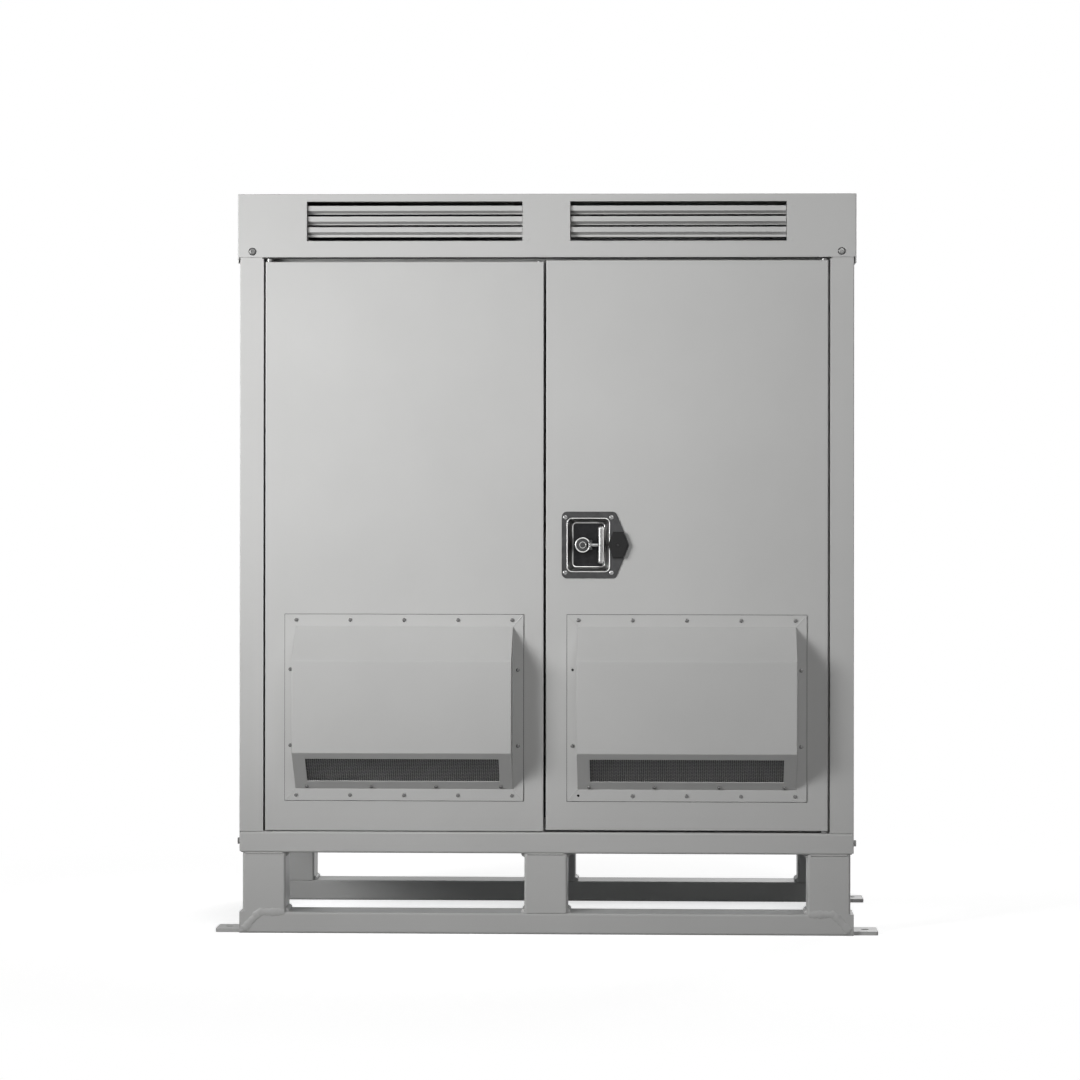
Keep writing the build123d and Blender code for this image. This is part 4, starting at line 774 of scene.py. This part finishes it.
# --- intake hoods
@dataclass
class IntakeHood:
    """One door's rain hood: rounded folds, screws, mitre seams and the woven insect screen."""

    side: str
    center_x: float
    body: Body
    left_out: tuple[int, ...] = ()
    door_y: float = -0.31225
    flange_sheet: float = 0.0025
    flange_width: float = 0.502
    flange_height: float = 0.391
    center_z: float = 0.476
    width: float = 0.457
    projection: float = 0.080
    margin: float = 0.025
    crease_drop: float = 0.069
    face_height: float = 0.192
    screw_inset: float = 0.0115
    screw_pitch: float = 0.1136
    side_screw_pitch: float = 0.1596
    slope_screw_pitch: float = 0.136
    slope_screw_inset: float = 0.007
    mesh_width: float = 0.404
    mesh_height: float = 0.070
    mesh_offset: float = 0.018
    mesh_overlap: float = 0.009
    mesh_pitch: float = 0.0044
    wire: float = 0.00074
    screen_depth: float = 0.0032

    def __post_init__(self) -> None:
        """Works out the lower slope."""
        self.bottom = self.center_z - self.flange_height / 2 + self.margin
        self.top = self.center_z + self.flange_height / 2 - self.margin
        self.face_bottom = self.top - self.crease_drop - self.face_height
        self.front_y = self.door_y - self.projection
        run = self.projection - self.flange_sheet
        drop = self.face_bottom - self.bottom
        self.slope_length = math.hypot(run, drop)
        angle = math.atan2(run, drop)
        self.down = Vector((0, math.sin(angle), -math.cos(angle)))
        self.out = Vector((0, -math.cos(angle), -math.sin(angle)))

    def on_slope(self, across: float, along: float, inward: float) -> Vector:
        """A point on the lower slope.

        Args:
            across: Sideways from the hood's centre.
            along: Down from the slope's upper crease.
            inward: Behind its outer face.

        Returns:
            The point in the row frame.
        """
        crease = Vector((self.center_x + across, self.front_y, self.face_bottom))
        return crease + self.down * along - self.out * inward

    def flange_places(self) -> list[Vector]:
        """The flange screws, in the order of the drilled holes."""
        y = self.door_y - self.flange_sheet
        half_z = self.flange_height / 2 - self.screw_inset
        half_x = self.flange_width / 2 - self.screw_inset
        rows = [
            Vector((self.center_x + (i - 2) * self.screw_pitch, y, self.center_z + j * half_z))
            for i in range(5) for j in (-1, 1)
        ]
        sides = [
            Vector((self.center_x + i * half_x, y, self.center_z + j * self.side_screw_pitch / 2))
            for i in (-1, 1) for j in (-1, 1)
        ]
        return rows + sides

    def screws(self) -> BMesh:
        """Every screw that is in place."""
        bm = bmesh.new()
        present = [p for i, p in enumerate(self.flange_places()) if i not in self.left_out]
        ScrewHeads().fit(bm, present, FRONT)
        row = self.slope_length - self.slope_screw_inset
        slope = [self.on_slope((step - 1.5) * self.slope_screw_pitch, row, 0.0) for step in range(4)]
        ScrewHeads(length=0.0038).fit(bm, slope, self.out)
        return closed_normals(bm)

    def mitre_seams(self) -> BMesh:
        """The dressed weld at each corner of the flange."""
        bm = bmesh.new()
        reach = (
            (self.width / 2, self.flange_height / 2 - self.margin),
            (self.flange_width / 2 - 0.0015, self.flange_height / 2 - 0.0015))
        for i in (-1, 1):
            for j in (-1, 1):
                ends = [
                    Vector((self.center_x + i * x, self.door_y - self.flange_sheet, self.center_z + j * z))
                    for x, z in reach]
                bead(bm, ends, 0.0012, 0.0006, FRONT)
        return closed_normals(bm)

    def flange_shadow_line(self) -> BMesh:
        """A fine dark line round the flange where it meets the door: a painted shadow standing in for the contact
        shade there.
        """

        def box(grow: float) -> list[Vector]:
            """The flange's outline, grown by an amount."""
            x, y = self.flange_width / 2 + grow, self.flange_height / 2 + grow
            return [Vector((i * x, j * y, 0.0)) for i, j in ((-1, -1), (1, -1), (1, 1), (-1, 1))]

        bm = holed(box(0.0009), [box(-0.0004)], 0.0003, 0.0001)
        bm.transform(Matrix.Translation((self.center_x, self.door_y - 0.0005, self.center_z)) @ UPRIGHT)
        return bm

    def screen(self) -> BMesh:
        """Plain-woven wire: each wire goes over and under the ones that cross it."""
        bm = bmesh.new()
        columns = round((self.mesh_width + 1.6 * self.mesh_overlap) / self.mesh_pitch)
        rows = round((self.mesh_height + 1.6 * self.mesh_overlap) / self.mesh_pitch)
        middle = self.mesh_offset + self.mesh_height / 2
        across = Vector((1, 0, 0))

        def wires(steps: int, along: Vector, starts: list[Vector]) -> None:
            """Every wire that runs one way; each next one sways the other way."""
            thick = Matrix.Diagonal((self.wire, self.wire, 1.0, 1.0))
            places = [
                Matrix.Translation((self.wire * (0.9 if step % 2 else -0.9), 0, step * self.mesh_pitch)) @ thick
                for step in range(steps + 1)
            ]
            turn = Matrix((self.out, along.cross(self.out), along)).transposed().to_4x4()
            join(bm, swept(places, 4, False), [
                Matrix.Translation(start) @ turn @ Matrix.Rotation(math.pi * (index % 2), 4, "Z")
                for index, start in enumerate(starts)
            ])

        first_x, first_s = -columns / 2 * self.mesh_pitch, middle - rows / 2 * self.mesh_pitch
        wires(rows, self.down, [
            self.on_slope(first_x + i * self.mesh_pitch, first_s, self.screen_depth) for i in range(columns + 1)])
        wires(columns, across, [
            self.on_slope(first_x, first_s + i * self.mesh_pitch, self.screen_depth)
            for i in range(rows + 1)])
        return bm

    def build(self, shop: Workshop) -> None:
        """Adds the hood's pieces to its door."""
        hood = f"{self.side}_hood"
        folded = shop.softened(hood, 0.0007, 0.02, 0.0016)
        shop.add(f"{hood}_folded", folded, Slot.COAT, self.body, (hood,))
        shop.add(f"{hood}_pan_screws", self.screws(), Slot.ZINC, self.body, (f"{hood}_screws",))
        shop.add(f"{hood}_mitre_seams", self.mitre_seams(), Slot.COAT, self.body)
        # The dark line round the flange is a painted shadow line, not a seal.
        shop.add(f"{hood}_shadow_line", closed_normals(self.flange_shadow_line()), Slot.RUBBER_AND_SHADE, self.body)
        shop.add(f"{self.side}_insect_screen", self.screen(), Slot.MESH, self.body, (f"{self.side}_mesh",))


# --- louvres and cover screws
@dataclass
class LouvreBanks:
    """The two banks of folded blades in the roof cover's front, and the screws that hold the cover."""

    spacing: float = 0.554
    width: float = 0.454
    top: float = 1.539
    height: float = 0.083
    face_y: float = -0.3088
    cover_y: float = -0.31525
    first: float = 0.0086
    pitch: float = 0.0224
    face: float = 0.0106
    slope: float = 0.0050
    lip: float = 0.0017
    end_gap: float = 0.0008
    bend: float = 0.0005
    last_lip: float = 0.0048
    setback: float = 0.0125
    root: float = 0.0165
    sheet: float = 0.0012
    screw_x: float = 0.6185
    screw_z: float = 1.434
    rear_x: float = 0.623
    rear_y: float = 0.38775
    rear_z: float = 0.8185
    rear_pitch: float = 0.27175

    def blade(self, lip: float) -> BMesh:
        """One blade of the left bank at the origin's height.

        Args:
            lip: The height of its lower lip.

        Returns:
            The blade.
        """
        line = [Vector((0.0, y, z)) for y, z in (
            (self.root, 0.0), (0.0, 0.0), (0.0, -self.face),
            (self.setback, -self.face - self.slope), (self.setback, -self.face - self.slope - lip))]
        across = Vector((1, 0, 0))
        sides = [(b - a).normalized().cross(across) for a, b in zip(line, line[1:])]
        joints = [sides[0], *[(a + b) / (1 + a.dot(b)) for a, b in zip(sides, sides[1:])], sides[-1]]
        inner = [point - joint * self.sheet for point, joint in zip(line, joints)]
        ring = line + inner[::-1]
        half = self.width / 2 - self.end_gap
        ends = [Vector((x - self.spacing / 2, 0, 0)) for x in (-half, half)]
        bm = skinned([[point + end for point in ring] for end in ends], True, True)
        closed_normals(bm)
        bent = [e for e in bm.edges if e.calc_face_angle(0.0) > 0.5 and e.calc_length() > self.width / 2]
        return eased(bm, bent, self.bend)

    def blades(self) -> BMesh:
        """Every blade of both banks."""
        bm = bmesh.new()
        for lip, rows in ((self.lip, (0, 1)), (self.last_lip, (2,))):
            join(bm, self.blade(lip), [
                Matrix.Translation((bank * self.spacing, self.face_y, self.top - self.first - row * self.pitch))
                for bank in (0, 1) for row in rows])
        return bm

    def spot_welds(self) -> BMesh:
        """The dressed spot welds beside each opening, which hold the blades' box."""
        dome = skinned([
            circle(r, h, 20) for r, h in ((0.0044, 0.0), (0.0036, 0.00022), (0.0018, 0.0003))], False, True)
        bm = bmesh.new()
        join(bm, dome, [
            Matrix.Translation((
                bank * self.spacing / 2 + side * (self.width / 2 + 0.0115), self.cover_y,
                self.top - drop)) @ TO_FRONT
            for bank in (-1, 1) for side in (-1, 1) for drop in (0.011, self.height - 0.0035)])
        return bm

    def screws(self) -> BMesh:
        """The two broad heads on the front and the rear panel's small ones."""
        bm = bmesh.new()
        front = [Vector((side * self.screw_x, self.cover_y, self.screw_z)) for side in (-1, 1)]
        ScrewHeads(head=0.0070, height=0.0034, length=0.009, socket=0.0029).fit(bm, front, FRONT)
        rear = [
            Vector((side * self.rear_x, self.rear_y, self.rear_z + row * self.rear_pitch))
            for side in (-1, 1) for row in (-2, -1, 0, 1, 2)]
        ScrewHeads(head=0.0036, height=0.0024, length=0.009).fit(bm, rear, REAR)
        return closed_normals(bm)

    def seals(self) -> BMesh:
        """The dark washers under the two broad heads."""
        bm = bmesh.new()
        washer = skinned([circle(r, h, 28) for r, h in (
            (0.0081, 0.0), (0.0081, 0.0006), (0.0077, 0.0009), (0.0062, 0.0009))])
        join(bm, washer, [
            Matrix.Translation((side * self.screw_x, self.cover_y, self.screw_z)) @ TO_FRONT for side in (-1, 1)])
        return bm

    def painted_shade_strip(self) -> BMesh:
        """A black strip under the header, over the doors' tops: painted shade standing in for the shadow under the
        cover's apron and the gap behind it.
        """
        ends = [Vector((x, -0.3116, 1.4203)) for x in (-0.598, 0.598)]
        section = rounded([(-0.0019, -0.0015), (0.0019, -0.0015), (0.0019, 0.0015), (-0.0019, 0.0015)], 0.0007, 3)
        return skinned([[end + Vector((0, p.x, p.y)) for p in section] for end in ends], True, True)

    def build(self, shop: Workshop) -> None:
        """Adds the blades, the spot welds, the black painted-shade strip and the screws."""
        # The black strip under the header is painted shade, not a trim.
        shop.add("header_painted_shade_strip", closed_normals(self.painted_shade_strip()), Slot.RUBBER_AND_SHADE, Body.CABINET)
        shop.add("louvre_blades_folded", self.blades(), Slot.COAT, Body.CABINET, ("louvre_blades",))
        shop.add("louvre_spot_welds", self.spot_welds(), Slot.COAT, Body.CABINET)
        shop.add("panel_pan_screws", self.screws(), Slot.ZINC, Body.CABINET, ("panel_screws",))
        shop.add("cover_screw_seals", self.seals(), Slot.RUBBER_AND_SHADE, Body.CABINET)


# --- latch
@dataclass
class Latch:
    """The pressed latch pan with its pointed ear, rivets, hub rim and plug shutter."""

    left: float = 0.033
    face_y: float = -0.31425
    center_z: float = 0.818
    sheet: float = 0.002
    half_height: float = 0.070
    ear_start: float = 0.1130
    ear_tip: float = 0.1425
    corner: float = 0.011
    pan_center: float = 0.056
    pan_half: Pair = (0.043, 0.0545)
    floor_half: Pair = (0.035, 0.048)
    pan_corner: float = 0.009
    depth: float = 0.0226
    floor_bend: float = 0.0025
    bead_width: float = 0.003
    bead_height: float = 0.0025
    rivet_inset: float = 0.0075
    rivet_span: float = 0.097
    rivet_rise: float = 0.058
    hub_offset: float = 0.044
    hub_radius: float = 0.016
    hub_depth: float = 0.002
    rim_opening: float = 27.0
    keeper_offset: float = 0.1185

    def __post_init__(self) -> None:
        """Works out the matrix from the plate's own plane to the cabinet."""
        self.place = Matrix.Translation((self.left, self.face_y, self.center_z)) @ UPRIGHT

    def ring(self, half: Pair, corner: float, height: float) -> list[Vector]:
        """A rounded rectangle round the pan's middle, at a height over the plate."""
        x, y = half
        loop = rounded([(-x, -y), (x, -y), (x, y), (-x, y)], corner, 6)
        return [point + Vector((self.pan_center, 0, height)) for point in loop]

    def grown(self, amount: float, height: float) -> list[Vector]:
        """The pan's mouth grown by an amount."""
        half = (self.pan_half[0] + amount, self.pan_half[1] + amount)
        return self.ring(half, self.pan_corner + amount, height)

    def floor_loop(self, inset: float, height: float) -> list[Vector]:
        """The pan's floor outline, drawn in by an amount."""
        half = (self.floor_half[0] - inset, self.floor_half[1] - inset)
        return self.ring(half, self.pan_corner - inset, height)

    def plate(self) -> BMesh:
        """The flat plate with its ear, and the keeper's pin."""
        h = self.half_height
        outline = rounded([
            (0, -h), (self.ear_start, -h), (self.ear_tip, 0), (self.ear_start, h), (0, h)], self.corner, 6)
        rivets = [circle(0.0026, 0.0, 16, spot) for spot in self.rivet_spots()]
        bm = holed(outline, [self.grown(self.bead_width, 0.0), *rivets], self.sheet, 0.0006)
        pin = [circle(r, z, 20, (self.keeper_offset, 0.0)) for r, z in (
            (0.003, -0.0005), (0.003, 0.0052), (0.0024, 0.0058))]
        join(bm, skinned(pin, False, True))
        return bm

    def bowl(self) -> BMesh:
        """The rolled bead and the pan's walls."""
        half_bead = self.bead_width / 2
        roll = [
            self.grown(half_bead + half_bead * math.cos(turn), self.bead_height * math.sin(turn))
            for turn in (math.pi * i / 8 for i in range(9))]
        bottom = self.floor_bend
        bend = [
            self.floor_loop(bottom * (1 - math.cos(turn)), -self.depth + bottom * (1 - math.sin(turn)))
            for turn in map(math.radians, (0, 22.5, 45, 67.5, 90))]
        return skinned(roll + bend)

    def floor(self) -> BMesh:
        """The pan's floor, with the hole that the shaft passes; its near-black colour is painted shade and dark
        reflection.
        """
        hole = circle(0.0064, 0.0, 24, (self.hub_offset, 0.0))
        bm = holed(self.floor_loop(self.floor_bend, 0.0), [hole], 0.0012, 0.0001)
        bmesh.ops.translate(bm, verts=bm.verts, vec=(0, 0, -self.depth))
        return bm

    def rivet_spots(self) -> list[Pair]:
        """The middle of each rivet on the plate."""
        return [
            (self.rivet_inset + across, up * self.rivet_rise)
            for across in (0.0, self.rivet_span) for up in (-1, 1)]

    def rivets(self) -> BMesh:
        """Domed blind rivets with a sunk mandrel."""
        shape = [
            circle(r, z, 24) for r, z in (
                (0.0024, -0.006), (0.0024, 0.0), (0.0052, 0.0), (0.0051, 0.0007), (0.0044, 0.0015),
                (0.0031, 0.0021), (0.0020, 0.0021), (0.0017, 0.0006))]
        bm = bmesh.new()
        join(bm, skinned(shape, True, True), [
            Matrix.Translation((x, y, 0.0)) for x, y in self.rivet_spots()])
        return bm

    def hub_rim(self) -> BMesh:
        """The bright rolled rim round the hub's face, open where the handle's knuckle swings."""
        roll = 0.0013
        section = [(self.hub_radius - roll + roll * math.cos(math.pi * i / 6),
                    -self.hub_depth + 0.0012 * math.sin(math.pi * i / 6)) for i in range(7)]
        under = -self.hub_depth - 0.0008
        section += [(self.hub_radius - 2 * roll, under), (self.hub_radius, under)]
        sweep = 360.0 - 2 * self.rim_opening
        angles = [math.radians(self.rim_opening + sweep * i / 36) for i in range(37)]
        return skinned([
            [Vector((self.hub_offset + r * math.cos(a), r * math.sin(a), w)) for r, w in section]
            for a in angles], True, True)

    def plug_shutter(self) -> BMesh:
        """The black shutter over the plug's keyway."""
        center = (self.hub_offset, 0.0)
        return skinned([circle(r, z, 28, center) for r, z in (
            (0.0058, -0.0012), (0.0058, -0.0007), (0.0054, -0.0004))], False, True)

    def build(self, shop: Workshop) -> None:
        """Adds the latch's pieces, each on its own body."""
        # The T-bar and the hub take the bar and plate finishes, whose dark colour is painted reflection.
        for node, finish in (
            ("handle_keeper", Special.KEEPER), ("t_handle", Special.BAR), ("latch_hub", Special.PLATE),
        ):
            shop.paint(shop.frame["nodes"][node], finish)
        for name, bm, slot, body, stands_for, look in (
            # The plate, the pan floor and the rivets take finishes darkened as painted shade and reflection.
            ("latch_plate_pressed", self.plate(), Slot.POLISHED, Body.RIGHT_LEAF, ("latch_pan",), Special.PLATE),
            ("latch_pan_bowl", self.bowl(), Slot.POLISHED, Body.RIGHT_LEAF, (), None),
            ("latch_pan_floor", self.floor(), Slot.POLISHED, Body.RIGHT_LEAF, (), Special.PAN_FLOOR),
            ("latch_blind_rivets", self.rivets(), Slot.POLISHED, Body.RIGHT_LEAF, ("latch_rivets",), Special.BAR),
            ("latch_hub_rim", self.hub_rim(), Slot.POLISHED, Body.LATCH, (), None),
            ("lock_plug_shutter", self.plug_shutter(), Slot.PLASTIC, Body.PLUG, (), None),
        ):
            bm.transform(self.place)
            shop.add(name, closed_normals(bm), slot, body, stands_for, look)


# --- studio
@dataclass
class Studio:
    """The floor, the lamps and the camera."""

    camera_place: Triple = (0.27081, -7.78, 0.95002)
    camera_turn: Triple = (0.00292, 0.00109, 0.03249)
    lens: float = 118.688
    shift: Pair = (-0.01803, -0.06334)
    ambient: float = 0.09
    floor_bounce: float = 0.16
    floor_seen: float = 0.93
    floor_lift: float = 0.64
    floor_fade: Pair = (0.8, 1.9)

    @staticmethod
    def seen(tree: Tree) -> Node:
        """A mask of the rays that see the background: camera, glossy and transmission rays.

        Args:
            tree: The node tree that gets the mask.

        Returns:
            The node whose Value is the mask.
        """
        path = placed(tree, "LightPath")
        shiny = math_node(tree, "MAXIMUM", path.outputs["Is Glossy Ray"], path.outputs["Is Transmission Ray"])
        return math_node(tree, "MAXIMUM", path.outputs["Is Camera Ray"], shiny.outputs["Value"])

    def floor(self) -> None:
        """A pale floor that keeps its shadow near the cabinet and melts into white farther out."""
        bm = bmesh.new()
        bmesh.ops.create_grid(bm, x_segments=2, y_segments=2, size=14.0)
        mesh = bpy.data.meshes.new("studio_floor")
        bm.to_mesh(mesh)
        bm.free()
        ground = bpy.data.objects.new("studio_floor", mesh)
        bpy.context.scene.collection.objects.link(ground)
        pale = bpy.data.materials.new("Pale floor")
        pale.use_nodes = True
        tree = pale.node_tree
        skin = tree.nodes["Principled BSDF"]
        preset(skin, {"Roughness": 0.95, "Specular IOR Level": 0.0, "Emission Color": WHITE})
        path = self.seen(tree)
        seen = path.outputs["Value"]
        tone = mix_node(tree, (self.floor_bounce,) * 3, (self.floor_seen,) * 3, seen)
        lift = math_node(tree, "MULTIPLY", seen, self.floor_lift)
        place = placed(tree, "TexCoord")
        away = placed(tree, "VectorMath")
        away.operation = "LENGTH"
        near, far = self.floor_fade
        fade = placed(tree, "MapRange", {"From Min": near, "From Max": far})
        fade.interpolation_type = "SMOOTHSTEP"
        share = math_node(tree, "MULTIPLY", fade.outputs["Result"], seen)
        white = placed(tree, "Emission")
        blend = placed(tree, "MixShader")
        wire(
            tree,
            (tone, "Result", skin, "Base Color"), (lift, "Value", skin, "Emission Strength"),
            (place, "Object", away, 0), (away, "Value", fade, "Value"), (share, "Value", blend, "Fac"),
            (skin, "BSDF", blend, 1), (white, "Emission", blend, 2),
            (blend, "Shader", tree.nodes["Material Output"], "Surface"))
        mesh.materials.append(pale)

    def world(self) -> None:
        """White to the camera, dim as a light."""
        world = bpy.data.worlds.new("Studio")
        bpy.context.scene.world = world
        world.use_nodes = True
        tree = world.node_tree
        back = tree.nodes["Background"]
        preset(back, {"Color": WHITE})
        level = placed(tree, "MapRange", {"To Min": self.ambient, "To Max": 1.0})
        wire(tree, (self.seen(tree), "Value", level, "Value"), (level, "Result", back, "Strength"))

    def lamp(
        self, name: str, place: Vector, aim: Vector, size: Pair, power: float,
        spread: float = 180.0,
    ) -> None:
        """Adds a soft rectangular lamp.

        Args:
            name: Its name.
            place: Where it stands.
            aim: The point it faces.
            size: Its width and height.
            power: Its power in watts.
            spread: Its beam's angle in degrees.
        """
        data = bpy.data.lights.new(name, "AREA")
        data.shape = "RECTANGLE"
        data.size, data.size_y = size
        data.energy = power
        data.spread = math.radians(spread)
        made = bpy.data.objects.new(name, data)
        made.location = place
        made.rotation_euler = (aim - place).to_track_quat("-Z", "Y").to_euler()
        bpy.context.scene.collection.objects.link(made)

    def camera(self) -> None:
        """A long lens held almost level, with a little shift."""
        data = bpy.data.cameras.new("camera")
        data.lens = self.lens
        data.sensor_width = 36.0
        data.shift_x, data.shift_y = self.shift
        data.clip_end = 100.0
        made = bpy.data.objects.new("camera", data)
        made.location = self.camera_place
        pitch, roll, yaw = self.camera_turn
        turn = Matrix.Rotation(yaw, 3, "Z") @ Matrix.Rotation(math.pi / 2 + pitch, 3, "X")
        made.rotation_euler = (turn @ Matrix.Rotation(roll, 3, "Z")).to_euler()
        bpy.context.scene.collection.objects.link(made)
        bpy.context.scene.camera = made

    def build(self) -> None:
        """Sets up the whole studio."""
        bpy.context.scene.view_settings.view_transform = "Standard"
        self.floor()
        self.world()
        self.lamp("key", Vector((-2.35, -2.6, 1.5)), Vector((-0.40, -0.3, 1.20)), (1.6, 1.3), 17.0, 64.0)
        self.lamp("fill", Vector((1.1, -4.6, 2.9)), Vector((0.1, -0.3, 0.95)), (2.4, 2.0), 17.5, 90.0)
        self.lamp("back", Vector((1.5, 4.2, 2.8)), Vector((0.0, -0.3, 0.8)), (2.5, 2.5), 85.0)
        self.camera()


def main() -> None:
    """Builds the looks in order."""
    logging.basicConfig(level=logging.INFO, format="%(name)s %(message)s")
    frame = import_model()
    shop = Workshop(frame)
    shop.dress_frame()
    FoldedSheet().build(shop)
    SkidWelds().build(shop)
    IntakeHood("left", -0.298, Body.LEFT_LEAF).build(shop)
    IntakeHood("right", 0.2955, Body.RIGHT_LEAF, (0, 11)).build(shop)
    LouvreBanks().build(shop)
    Latch().build(shop)
    Studio().build()


if __name__ == "__main__":
    main()
